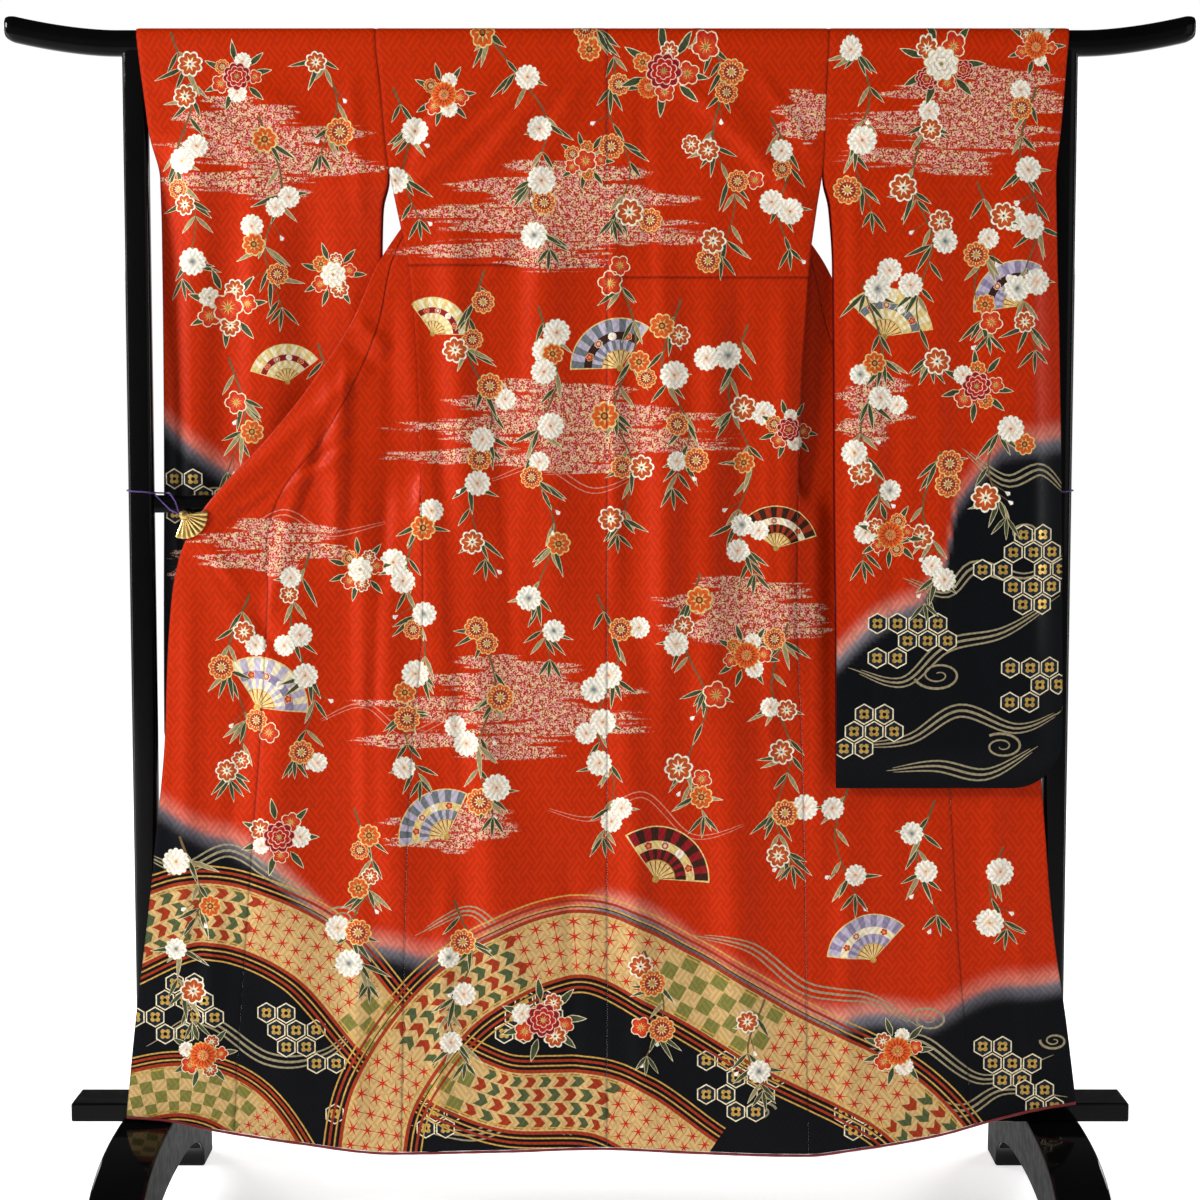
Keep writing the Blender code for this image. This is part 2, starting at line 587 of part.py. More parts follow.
def tube(name, rings, material, cap_pairs=False):
    """A closed body through rings of the same count."""
    count = len(rings[0])
    points = [point for ring in rings for point in ring]
    faces = []
    for i in range(len(rings) - 1):
        for k in range(count):
            a, b = i * count + k, i * count + (k + 1) % count
            faces.append((a, b, b + count, a + count))
    for first in (0, (len(rings) - 1) * count):
        if cap_pairs:
            half = count // 2
            for k in range(half - 1):
                faces.append((first + k, first + k + 1, first + count - 2 - k, first + count - 1 - k))
        else:
            faces.append(tuple(range(first, first + count)))
    return add(name, points, faces, material)


def tip_lift(x):
    past = max(abs(x) - TIP_START, 0.0) / (RAIL_REACH - TIP_START)
    return TIP_RISE * past ** 1.7


def top_rail(name):
    """The top rail, its two ends turned up and rounded off."""
    section = rounded(20, RAIL_DEEP / 2, RAIL_TALL / 2, RAIL_SQUARENESS)
    half = [(0.30, 1.0), (0.60, 1.0), (TIP_START, 1.0), (0.710, 1.0), (0.750, 1.0), (0.785, 1.0), (0.808, 1.0),
            (0.817, 0.88), (RAIL_REACH, 0.55)]
    stations = [(-x, size) for x, size in reversed(half)] + half
    rings = [[(x, y * size, RAIL_CENTRE + tip_lift(x) + z * size) for y, z in section] for x, size in stations]
    return tube(name, rings, "lacquer")


def rail_underside(y):
    """Height of the rail's lower face, just above a post's end."""
    deep, tall = RAIL_DEEP / 2 + GAP, RAIL_TALL / 2 + GAP
    return RAIL_CENTRE - tall * (1 - (abs(y) / deep) ** RAIL_SQUARENESS) ** (1 / RAIL_SQUARENESS)


def post(name, side):
    """One post, from the board to the rail, its top hollowed to the rail's section."""
    section = rounded(20, POST_WIDE / 2, POST_DEEP / 2, POST_SQUARENESS)
    # Pairs across X share a height, so that the hollowed top is cut in flat strips
    section = section[5:] + section[:5]
    rings = []
    for base in (True, False):
        rings.append([(side * POST_X + x, y, BOARD_TOP + GAP if base else rail_underside(y) - 0.0004)
                      for x, y in section])
    return tube(name, rings, "lacquer", cap_pairs=True)


def middle_rail(name):
    section = rounded(16, MIDDLE_DEEP / 2, MIDDLE_TALL / 2, 4.0)
    end = POST_X - POST_WIDE / 2 - GAP
    rings = [[(x, y, MIDDLE_CENTRE + z) for y, z in section] for x in (-end, 0.0, end)]
    return tube(name, rings, "lacquer")


def bevelled(obj, width, segments):
    bevel = obj.modifiers.new("edges", "BEVEL")
    bevel.width = width
    bevel.segments = segments
    bevel.limit_method = "ANGLE"
    bevel.angle_limit = math.radians(40)
    return obj


def board(name):
    """The bottom board that joins the feet, lying on their crowns."""
    x, y = BOARD_REACH, BOARD_DEEP / 2
    corners = [(sx * x, sy * y, z) for z in (BOARD_LOW, BOARD_TOP) for sx, sy in ((-1, -1), (1, -1), (1, 1), (-1, 1))]
    faces = [(0, 3, 2, 1), (4, 5, 6, 7), (0, 1, 5, 4), (1, 2, 6, 5), (2, 3, 7, 6), (3, 0, 4, 7)]
    return bevelled(add(name, corners, faces, "lacquer", soft=False), 0.003, 2)


def arch_height(y, crown, reach, squareness):
    return crown * max(1 - (abs(y) / reach) ** squareness, 0.0) ** (1 / squareness)


def foot(name, side):
    """One arched foot, running from front to back under its post."""
    steps = 9
    outer, inner = [], []
    for k in range(-steps, steps + 1):
        share = math.sin(math.pi / 2 * k / steps)
        outer.append((share * FOOT_REACH, arch_height(share * FOOT_REACH, FOOT_CROWN, FOOT_REACH, 3.0)))
    for k in range(-steps, steps + 1):
        share = math.sin(math.pi / 2 * k / steps)
        inner.append((share * ARCH_REACH, arch_height(share * ARCH_REACH, ARCH_CLEAR, ARCH_REACH, 2.4)))
    outline = outer + inner[::-1]
    count = len(outline)
    points = [(side * POST_X + sx * FOOT_WIDE / 2, y, z) for sx in (-1, 1) for y, z in outline]
    faces = [tuple(count * row + k for k in face) for row in (0, 1) for face in
             [(k, k + 1, count - 2 - k, count - 1 - k) for k in range(len(outer) - 1)]]
    faces += [(k, (k + 1) % count, count + (k + 1) % count, count + k) for k in range(count)]
    return bevelled(add(name, points, faces, "lacquer", soft=False), 0.004, 2)


# Clip: a folding fan of gilt metal that holds the front's edge, and its cord to the post
FAN_RADIUS, FAN_HUB, FAN_RIBS, FAN_THICK, RIB_HIGH = 0.033, 0.007, 9, 0.0012, 0.0016
FAN_FIRST, FAN_LAST = 12.0, -112.0
CLIP_OUT, CLIP_Z = 0.580, 1.011
JAW_THICK, TONGUE_REACH, TONGUE_SPAN = 0.0015, 0.026, (-20.0, -80.0)
CLIP_EASE = 0.00035
CORD_WIDE, CORD_EASE, CORD_STEPS = 0.0022, 0.0009, 16


def sector(side, radius_in, radius_out, steps, first, last):
    """Points of a fan's sector in X and Z, inner arc then outer arc, with the angle's share."""
    arc = []
    for k in range(steps + 1):
        angle = math.radians(mix(first, last, k / steps))
        arc.append((-side * math.cos(angle), math.sin(angle)))
    centre = (side * CLIP_OUT, CLIP_Z)
    return [[(centre[0] + radius * c, centre[1] + radius * s) for c, s in arc]
            for radius in (radius_in, radius_out)]


def clip_faces(side):
    """Depths of the clip's two jaws, each just off the cloth that lies under it."""
    near, far = [], []
    for radius in (FAN_RADIUS / 3, FAN_RADIUS * 2 / 3, FAN_RADIUS):
        for x, z in sector(side, radius, radius, 8, FAN_FIRST, FAN_LAST)[0]:
            if abs(x) < edge_at(side, z):
                near.append(open_depth(side, z) - fold_depth("body", x, z) - CLOTH / 2)
        for x, z in sector(side, radius, radius, 8, *TONGUE_SPAN)[0]:
            if radius < FAN_RADIUS and abs(x) < edge_at(side, z):
                far.append(outer_layer(side, abs(x), z) + COLLAR_LAY + CLOTH / 2)
    return min(near) - CLIP_EASE, max(far) + CLIP_EASE


def fan(name, side):
    """The clip's front: a pleated fan."""
    steps = FAN_RIBS * 2
    inner, outer = sector(side, FAN_HUB, FAN_RADIUS, steps, FAN_FIRST, FAN_LAST)
    back = clip_faces(side)[0]
    points = []
    for arc, rise in ((inner, 0.4), (outer, 1.0)):
        points += [(x, back - FAN_THICK - RIB_HIGH * rise * (k % 2), z) for k, (x, z) in enumerate(arc)]
    points += [(x, back, z) for arc in (inner, outer) for x, z in arc]
    row = steps + 1
    faces = []
    for k in range(steps):
        faces.append((k, k + 1, row + k + 1, row + k))
        faces.append((2 * row + k, 3 * row + k, 3 * row + k + 1, 2 * row + k + 1))
        faces.append((k, 2 * row + k, 2 * row + k + 1, k + 1))
        faces.append((row + k, row + k + 1, 3 * row + k + 1, 3 * row + k))
    for k in (0, steps):
        faces.append((k, row + k, 3 * row + k, 2 * row + k))
    return add(name, points, faces, "gilt", soft=False)


def jaw(name, side):
    """The clip's back: a hub beside the cloth's edge, and a tongue behind the cloth."""
    front, back = clip_faces(side)
    bpy.ops.mesh.primitive_cylinder_add(
        vertices=16, radius=FAN_HUB - 2 * GAP, depth=back + JAW_THICK - front + FAN_THICK + RIB_HIGH,
        location=(side * CLIP_OUT, (back + JAW_THICK + front - FAN_THICK - RIB_HIGH) / 2, CLIP_Z),
        rotation=(math.pi / 2, 0, 0))
    hub = bpy.context.object
    hub.name = name
    finish(hub, "gilt")
    inner, outer = sector(side, 0.002, TONGUE_REACH, 6, *TONGUE_SPAN)
    outline = inner + outer[::-1]
    count = len(outline)
    points = [(x, y, z) for y in (back, back + JAW_THICK) for x, z in outline]
    faces = [tuple(range(count)), tuple(range(2 * count - 1, count - 1, -1))]
    faces += [(k, (k + 1) % count, count + (k + 1) % count, count + k) for k in range(count)]
    tongue = add(name + "_tongue", points, faces, "gilt", soft=False)
    join = hub.modifiers.new("tongue", "BOOLEAN")
    join.operation = "UNION"
    join.solver = "EXACT"
    join.object = tongue
    bpy.context.view_layer.objects.active = hub
    bpy.ops.object.modifier_apply(modifier=join.name)
    bpy.data.objects.remove(tongue, do_unlink=True)
    return hub


def cord(name, side):
    """The clip's cord: from the hub, once round the post above the middle rail, and back."""
    front, back = clip_faces(side)
    start_y = (front + back) / 2
    radius = CORD_WIDE / 2
    wide, deep = POST_WIDE / 2 + radius + CORD_EASE, POST_DEEP / 2 + radius + CORD_EASE
    eye = side * (CLIP_OUT + FAN_HUB - GAP + radius)
    loop_z = MIDDLE_CENTRE + MIDDLE_TALL / 2 + radius + 0.0015
    route = [(eye, start_y - 0.0014, CLIP_Z + 0.0014), (side * (CLIP_OUT + 0.020), start_y + 0.0005, CLIP_Z + 0.007)]
    for k in range(CORD_STEPS + 1):
        angle = math.radians(-155 + 310 * k / CORD_STEPS)
        c, s = math.cos(angle), math.sin(angle)
        x = math.copysign(wide * abs(c) ** (2 / POST_SQUARENESS), c)
        y = math.copysign(deep * abs(s) ** (2 / POST_SQUARENESS), s)
        route.append((side * (POST_X + x), y, loop_z + 0.004 * math.sin(math.pi * k / CORD_STEPS)))
    before_rail = min(start_y + 0.004, -MIDDLE_DEEP / 2 - radius - 0.0012)
    route += [(side * (CLIP_OUT + 0.028), 0.002, loop_z), (side * (CLIP_OUT + 0.024), -0.006, loop_z + 0.0004),
              (side * (CLIP_OUT + 0.020), before_rail, loop_z), (side * (CLIP_OUT + 0.013), before_rail, loop_z - 0.011),
              (eye, min(start_y + 0.0028, before_rail + 0.0006), CLIP_Z + 0.0034)]
    curve = bpy.data.curves.new(name, "CURVE")
    curve.dimensions = "3D"
    curve.bevel_depth = radius
    curve.bevel_resolution = 2
    curve.use_fill_caps = True
    spline = curve.splines.new("POLY")
    spline.points.add(len(route) - 1)
    for point, place in zip(spline.points, route):
        point.co = (*place, 1.0)
    obj = bpy.data.objects.new(name, curve)
    bpy.context.collection.objects.link(obj)
    finish(obj, "purple_cord")
    return obj


top_rail("rail_top")
middle_rail("rail_middle")
board("board")
for word, side in (("left", LEFT), ("right", RIGHT)):
    post(f"post_{word}", side)
    foot(f"foot_{word}", side)
hemmed = []
for word, side in (("left", LEFT), ("right", RIGHT)):
    hemmed.append(back_panel(f"back_{word}", side))
    hemmed.append(front_panel(f"front_{word}", side))
    hemmed.append(overlap_panel(f"overlap_{word}", side))
    collar_side(f"collar_{word}", side)
    sleeve_wall(f"sleeve_{word}_back", side, near=True)
    sleeve_wall(f"sleeve_{word}_front", side, near=False)
    fan(f"clip_{word}_fan", side)
    jaw(f"clip_{word}_jaw", side)
    cord(f"cord_{word}", side)
collar_neck("collar_neck")
hem_roll("hem_roll", hemmed)
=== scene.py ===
# %% [markdown]
# # A long-sleeved kimono on its stand
# A furisode hangs opened out flat over the rail of a black lacquered stand, its back towards the viewer.
# It is silk, lined with silk, and cut from one narrow bolt: every panel is a straight strip.
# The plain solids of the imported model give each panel's place. This script dresses them: it lays a fine
# sheet of silk over each one, dyes and paints it, and gives the stand its lacquer.

# %% Load the fixed frame
import math
import random
from collections import namedtuple
from functools import partial

import bmesh
import bpy
import numpy as np
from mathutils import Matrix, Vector
from mathutils.geometry import delaunay_2d_cdt


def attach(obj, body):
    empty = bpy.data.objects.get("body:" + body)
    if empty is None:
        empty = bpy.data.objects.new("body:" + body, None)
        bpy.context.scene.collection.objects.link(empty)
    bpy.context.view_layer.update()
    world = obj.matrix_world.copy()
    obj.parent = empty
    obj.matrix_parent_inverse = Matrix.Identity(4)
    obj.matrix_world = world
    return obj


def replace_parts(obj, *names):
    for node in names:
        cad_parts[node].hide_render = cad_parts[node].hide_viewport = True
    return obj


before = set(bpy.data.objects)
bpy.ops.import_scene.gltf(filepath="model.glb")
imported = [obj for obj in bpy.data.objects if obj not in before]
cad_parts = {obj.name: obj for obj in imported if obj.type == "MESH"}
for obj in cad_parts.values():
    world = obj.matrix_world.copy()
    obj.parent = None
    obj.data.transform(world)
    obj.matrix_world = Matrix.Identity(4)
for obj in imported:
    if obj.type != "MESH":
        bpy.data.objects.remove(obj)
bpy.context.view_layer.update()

print("frame of", len(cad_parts), "nodes")

# %% [markdown]
# ## The camera
# The photograph was taken from about 3.5 m away, a little above the middle of the garment and tilted
# slightly down. A real camera object keeps those two facts in its place and its rotation.

# %% Camera
CAMERA_AWAY, CAMERA_HIGH, CAMERA_DOWN, CAMERA_VIEW = 3.5, 1.184, 4.8, 27.05
camera_data = bpy.data.cameras.new("photo_camera")
camera_data.angle = math.radians(CAMERA_VIEW)
camera = bpy.data.objects.new("photo_camera", camera_data)
camera.location = (0.0, -CAMERA_AWAY, CAMERA_HIGH)
camera.rotation_euler = (math.radians(90 - CAMERA_DOWN), 0.0, 0.0)
bpy.context.scene.collection.objects.link(camera)
bpy.context.scene.camera = camera
print("camera at", tuple(camera.location))

# %% [markdown]
# ## Sizes of the garment
# The tables repeat the maker's sizes that the solids were built from: the edge of each panel at a few
# heights, the cut widths, how deep each layer hangs, and the largest folds. A smooth curve runs through
# each column, so a sheet made from them lies exactly on its solid. The charts are in millimetres.

# %% Sizes and tables
GAP, CLOTH = 0.0003, 0.0016
LEFT, RIGHT = -1, 1
RAIL_TALL, RAIL_DEEP, RAIL_CENTRE, RAIL_SQUARENESS = 0.036, 0.028, 1.662, 2.5
OVER_RAIL_DEEP = RAIL_DEEP / 2 + 0.0010 + CLOTH / 2
OVER_RAIL_TALL = RAIL_TALL / 2 + 0.0010 + CLOTH / 2
NECK_HALF, NECK_DROP, BACK_SEAM = 0.090, 1.660, 0.010
SLEEVE_JOIN, CUFF_END, SLEEVE_END, SLEEVE_ROUND, CUFF_FRONT = 1.503, 1.477, 0.630, 0.070, 0.612
ARMHOLE_END, OVERLAP_TIP, COLLAR_END, COLLAR_WIDE = 1.360, 1.440, 0.900, 0.055
TURN_RADIUS, ROLL_RADIUS = 0.004, 0.0019
COLLAR_LAY = CLOTH + 0.0011
HEM_LEVEL, HEM_FADE = 0.100, 0.500
FOLD_TOP, FOLD_FULL, SINGLE_ABOVE = 1.645, 1.580, 1.565
SPREAD_BELOW, SPREAD_ABOVE, SLEEVE_LOW, TABLE_TOP, RAIL_SPREAD = 1.575, 1.000, 0.800, 1.690, 1.5


def metres(number):
    """A chart's number of millimetres in metres; "over" is the depth of the cloth over the rail."""
    if number.endswith("over"):
        return -OVER_RAIL_DEEP if number.startswith("-") else OVER_RAIL_DEEP
    return round(float(number) / 1000, 7)


def number_rows(text):
    return [[metres(number) for number in row.split()] for row in text.split(";")]


def chart(row_type, text):
    """Rows of one type from a chart in millimetres, parted by semicolons."""
    return tuple(row_type(*row) for row in number_rows(text))


def folds_of(charts):
    return tuple(Fold(piece, *row) for piece, text in charts.items() for row in number_rows(text))


Edge = namedtuple("Edge", "height side front_edge")
EDGES = {
    LEFT: chart(Edge, """
        1690 310 90; 1660 309 90.5; 1600 303 145; 1503 294 214; 1430 280 262; 1360 266 308; 1280 258 345;
        1200 254 398; 1120 251 462; 1050 250 528; 1000 248 566; 950 247 588; 900 247 598; 800 252 606;
        700 262 610; 550 270 625; 400 275 640; 250 278 656; 100 281 669"""),
    RIGHT: chart(Edge, """
        1690 316 90; 1660 315 90.5; 1600 312 145; 1503 309 214; 1430 299 262; 1360 290 312; 1280 285 352;
        1200 280 405; 1120 278 468; 1050 276 530; 1000 275 566; 950 275 590; 900 275 602; 800 278 611;
        700 283 616; 550 287 627; 400 290 639; 250 292 657; 100 295 672"""),
}
Cut = namedtuple("Cut", "height front overlap")
CUTS = chart(Cut, """
    1690 222 0; 1503 218 0; 1450 215 3; 1200 215 58; 1050 217 95; 950 218 122; 900 218 135; 500 226 142;
    100 234 150""")
Depth = namedtuple("Depth", "height back behind open_left open_right")
DEPTHS = chart(Depth, """
    1690 -over over over over; 1640 -over over over over; 1600 -16.5 14 18 18; 1503 -18.5 6 12 12;
    1430 -20 -5 0 2; 1360 -22 -15.5 -8 -4.5; 1280 -23.2 -17 -9.5 -6; 1200 -24 -17.8 -11 -8;
    1120 -25 -19 -15 -12; 1060 -25.8 -19.8 -19 -15; 1000 -26.5 -20.5 -21.5 -15.8; 900 -28 -22 -25 -16.8;
    800 -30 -24 -28 -19; 700 -32.5 -26.5 -31 -23.5; 600 -35.5 -29.5 -34 -30; 500 -38.5 -32.5 -37 -36;
    300 -45 -39 -43 -43; 100 -50 -44 -48 -48""")
Sleeve = namedtuple("Sleeve", "height inner outer near far seam")
SLEEVES = {
    LEFT: chart(Sleeve, """
        1690 310.3 640 -over over 0; 1640 308.3 635 -over over 0; 1600 304 630 -16.5 17 0;
        1530 297 621 -17.2 19 1; 1477 296.5 611 -16 21.5 3; 1430 303 611 -8 26.5 9; 1370 305 612 1 31 16;
        1280 304 613 7 35 21; 1200 303 614 10.5 38 24; 1050 302 616 13.5 41 27; 800 304 620 15 40 27.5;
        630 308 621 18 37 27.5"""),
    RIGHT: chart(Sleeve, """
        1690 316.3 647 -over over 0; 1640 315.3 643 -over over 0; 1600 313 640 -18 16 -5;
        1530 311 634 -21.5 15.5 -12; 1477 312 630 -25 12 -17.5; 1430 318 631 -28.5 4 -18.5;
        1360 322 633 -33.5 -8.5 -20; 1280 323 636 -37 -11.5 -22.5; 1200 324 638 -41 -15 -26;
        1050 325 641 -47 -22 -33; 800 329 645 -51 -26.5 -39; 630 330 646 -54 -37 -45"""),
}
Hem = namedtuple("Hem", "across height")
HEM = chart(Hem, """
    -670 163; -600 156.5; -560 147; -430 126; -300 111; -140 114; 0 118; 140 112; 290 108; 370 117; 480 137;
    550 157; 610 172; 675 184""")
Fold = namedtuple("Fold", "piece top_x top_z foot_x foot_z width depth")
FOLDS = folds_of({
    "body": """
        18 1450 22 900 13 4.5; -130 1640 -262 1500 18 3.5; -265 1300 -225 700 16 4.5;
        -190 1280 -165 620 22 3; 150 1600 130 750 26 2.5; 255 1320 262 760 16 4; -374 1200 -370 930 15 4.5;
        -395 1130 -470 860 14 4.5; -555 1010 -330 1215 14 3.5; -560 990 -420 700 20 3.5;
        -130 600 -115 120 30 5; -420 560 -440 130 30 4.5; 200 560 215 120 30 4.5; 470 600 495 150 28 4.5""",
    "sleeve_left": """
        -530 1640 -380 1520 20 3.5; -400 1480 -420 720 26 -4; -520 1420 -540 760 24 -3.5""",
    "sleeve_right": """
        560 1640 350 1520 18 5.5; 600 1600 380 1440 18 4.5; 420 1400 430 720 24 4.5; 540 1330 555 760 26 4""",
})
print(len(FOLDS), "large folds")

# %% [markdown]
# ## Smaller creases
# The solids hold only the largest folds. These are the finer ones, listed one by one: soft ridges where
# the number is positive and troughs where it is negative, uneven in length, width and depth. They run
# from the neck and the shoulders towards the armpits, along the seams, and up from the hem.

# %% Creases
CREASES = folds_of({
    "body": """
        -60 1640 -285 1440 10 3; -20 1630 -160 1330 14 2.9; -215 1640 -275 1470 8 -2.4;
        85 1640 290 1430 12 4.1; 205 1642 300 1500 9 2.7; 55 1600 85 1120 11 -2.1; -85 1430 -105 960 16 3;
        -145 1210 -120 760 10 -2.1; -290 1290 -300 900 7 -1.9; -238 1150 -205 640 9 3;
        100 1260 80 560 18 3.4; 190 1350 205 840 12 -2.3; 232 1180 240 600 10 2.4; 300 1100 310 480 13 3.4;
        395 980 410 400 20 2.4; 545 900 560 350 16 3.4; -335 1060 -330 520 11 2.9;
        -455 980 -520 560 10 -2.3; -505 1020 -360 1090 9 3; -540 960 -470 840 9 2.7; -575 900 -585 330 14 3;
        -45 520 -35 130 13 -3; 55 640 62 130 17 4.9; -215 500 -228 130 14 4.1; -335 470 -345 130 15 4.5;
        345 520 352 130 16 4.1; 585 480 610 180 14 3.4; -540 450 -560 160 13 3.7; -354 1220 -366 990 8 4.2;
        -372 1160 -428 985 8.5 -3.6; -338 1282 -296 1240 8 3.4; -352 1250 -305 1212 7.5 -3;
        -535 985 -350 1120 8 -2.8; -545 945 -430 800 10 -3.4; -300 1060 -318 720 9.5 -3.2;
        82 1390 94 790 26 8.1; 158 1300 150 690 21 6.4; -72 1430 -66 870 27 7.3; -205 1430 -190 990 23 6.7;
        -305 950 -288 430 30 8.1; -430 900 -478 390 34 8.7; 330 860 348 380 29 5; 176 770 192 290 27 7.3;
        36 820 48 340 22 6.2; -168 790 -150 360 25 7; -40 1640 -180 1470 16 4.2; 130 1640 235 1500 15 4""",
    "sleeve_left": """
        -462 1430 -470 800 29 5; -552 1570 -566 1010 22 4.2; -620 1630 -470 1500 11 2.4;
        -345 1640 -330 1420 9 2.1; -480 1560 -500 900 13 2.3; -585 1380 -580 760 12 2.7;
        -345 1330 -360 780 12 2.1""",
    "sleeve_right": """
        468 1450 482 760 28 5.6; 572 1500 586 810 22 4.6; 376 1420 372 830 19 4.2; 640 1560 430 1440 10 3;
        480 1645 370 1560 10 3.3; 350 1500 352 900 10 2.7; 480 1450 495 760 14 -2.1;
        600 1400 605 820 11 3.3; 385 1180 395 700 10 2.4""",
})
TUCK_LEFT, TUCK_RIGHT, TUCK_DEEP = 1.357, 1.340, 0.0011
print(len(CREASES), "smaller creases")

# %% [markdown]
# ## Curves and relief
# Every function here works on whole arrays of places at once, because a panel has tens of thousands.

# %% Curves and relief
CURVE_STEP, RIPPLE_HIGH, SEAM_DIP, PUCKER_HIGH = 0.0005, 0.00013, 0.0007, 0.00028


def smooth(value):
    value = np.clip(value, 0.0, 1.0)
    return value * value * (3.0 - 2.0 * value)


def mix(first, second, share):
    return first + (second - first) * share


def bell(away, width):
    return np.exp(-(away / width) ** 2)


def unit(vectors):
    """The vectors at length 1."""
    return vectors / np.maximum(np.linalg.norm(vectors, axis=1), 1e-15)[:, None]


def curve(rows, column):
    """A table's column as a smooth function that never overshoots its rows."""
    points = sorted((row[0], getattr(row, column)) for row in rows)
    at, value = np.array(points).T
    slope = np.diff(value) / np.diff(at)
    before, after = slope[:-1], slope[1:]
    alike = before * after > 0
    middle = np.where(alike, 2 * before * after / np.where(alike, before + after, 1.0), 0.0)
    tangent = np.concatenate([slope[:1], middle, slope[-1:]])
    fine = np.arange(at[0], at[-1], CURVE_STEP)
    spot = np.clip(np.searchsorted(at, fine, side="right") - 1, 0, len(slope) - 1)
    span = (at[1:] - at[:-1])[spot]
    t = (fine - at[spot]) / span
    heights = (value[spot] * (1 + 2 * t) * (1 - t) ** 2 + span * tangent[spot] * t * (1 - t) ** 2
               + value[spot + 1] * t * t * (3 - 2 * t) + span * tangent[spot + 1] * t * t * (t - 1))
    return lambda q: np.interp(q, fine, heights)


side_edge = {side: curve(EDGES[side], "side") for side in (LEFT, RIGHT)}
front_edge = {side: curve(EDGES[side], "front_edge") for side in (LEFT, RIGHT)}
cut_front, cut_overlap = curve(CUTS, "front"), curve(CUTS, "overlap")
back_of, behind_of = curve(DEPTHS, "back"), curve(DEPTHS, "behind")
open_of = {LEFT: curve(DEPTHS, "open_left"), RIGHT: curve(DEPTHS, "open_right")}
sleeve_of = {side: {column: curve(SLEEVES[side], column) for column in Sleeve._fields[1:]} for side in (LEFT, RIGHT)}
hem_height = curve(HEM, "height")


def fold_depth(piece, x, z):
    """How far the named piece's folds and creases stand towards the viewer."""
    total = np.zeros_like(x)
    for fold in FOLDS + CREASES:
        if fold.piece == piece:
            along_x, along_z = fold.foot_x - fold.top_x, fold.foot_z - fold.top_z
            length = math.hypot(along_x, along_z)
            share = ((x - fold.top_x) * along_x + (z - fold.top_z) * along_z) / length ** 2
            away = ((x - fold.top_x) * along_z - (z - fold.top_z) * along_x) / length
            ends = smooth((share + 0.12) / 0.30) * smooth((1.12 - share) / 0.30)
            total += fold.depth * ends * bell(away, fold.width)
    return total * smooth((FOLD_TOP - z) / (FOLD_TOP - FOLD_FULL))


def ripple(x, z, seed):
    """The unevenness of hanging silk: a few long, low waves that never line up."""
    rng = np.random.default_rng(seed)
    total = np.zeros_like(x)
    for _ in range(9):
        wide, tall, start = rng.uniform(18, 75), rng.uniform(4, 16), rng.uniform(0, 6.28)
        lean = rng.uniform(-0.35, 0.35)
        total += np.sin(wide * (x + lean * z) + tall * z + start) * rng.uniform(0.4, 1.0)
    return total * RIPPLE_HIGH


def seam_relief(from_seam, v, seed):
    """A sewn edge dips a little, and the thread draws the cloth beside it into small puckers."""
    rng = np.random.default_rng(seed)
    start, wave = rng.uniform(0, 6.28), rng.uniform(300, 360)
    dip = -SEAM_DIP * bell(from_seam, 0.0024)
    pucker = np.sin(wave * v + start) * (0.5 + 0.5 * np.sin(wave * 0.171 * v + 2 * start))
    return dip + PUCKER_HIGH * pucker * bell(from_seam - 0.006, 0.009)


def to_hem(x, z):
    share = np.clip((HEM_FADE - z) / (HEM_FADE - HEM_LEVEL), 0.0, None)
    return z + (hem_height(x) - HEM_LEVEL) * share


def from_hem(x, z):
    """The level of a panel that ends up at height z."""
    k = (hem_height(x) - HEM_LEVEL) / (HEM_FADE - HEM_LEVEL)
    return np.where(z < HEM_FADE, (z - HEM_FADE * k) / (1 - k), z)


# %% [markdown]
# ## Where each panel hangs
# A place on a panel is its share of the width, from the inner to the outer edge, and its level. Above the
# top of the rail's side, at 1.662, the level runs on over the rail to its ridge at 1.692.

# %% Panel surfaces
OVER_START, OVER_END = 1.662, 1.692
RIDGE = math.asin((0.00002 / OVER_RAIL_DEEP) ** (RAIL_SQUARENESS / 2)) / (math.pi / 2)


def over_rail(level, deep=OVER_RAIL_DEEP):
    """Height of a level, its depth on the rail's rounded section, and whether it is on the rail."""
    past = np.clip((level - OVER_START) / (OVER_END - OVER_START), 0.0, 1.0)
    angle = (1 - past * (1 - RIDGE)) * math.pi / 2
    power = 2.0 / RAIL_SQUARENESS
    high = RAIL_CENTRE + OVER_RAIL_TALL * np.clip(np.cos(angle), 0.0, None) ** power
    on_rail = level > OVER_START
    return np.where(on_rail, high, level), deep * np.sin(angle) ** power, on_rail


def flatness(z):
    """1 where the opened front hangs flat, 0 where it is folded back on itself at the side."""
    return np.maximum(smooth((z - SPREAD_BELOW) / 0.065), 1 - smooth((z - SPREAD_ABOVE) / 0.120))


def front_start(side, z):
    return side_edge[side](z) + GAP / 2 - GAP * smooth((z - ARMHOLE_END) / 0.060)


def back_place(side, share, level):
    z, over, on_rail = over_rail(level)
    inner, outer = BACK_SEAM * side + GAP / 2, side_edge[side](z) - GAP / 2
    x = side * mix(inner, outer, share)
    y = np.where(on_rail, -over, back_of(z) - fold_depth("body", x, z))
    return x, y, to_hem(x, z)


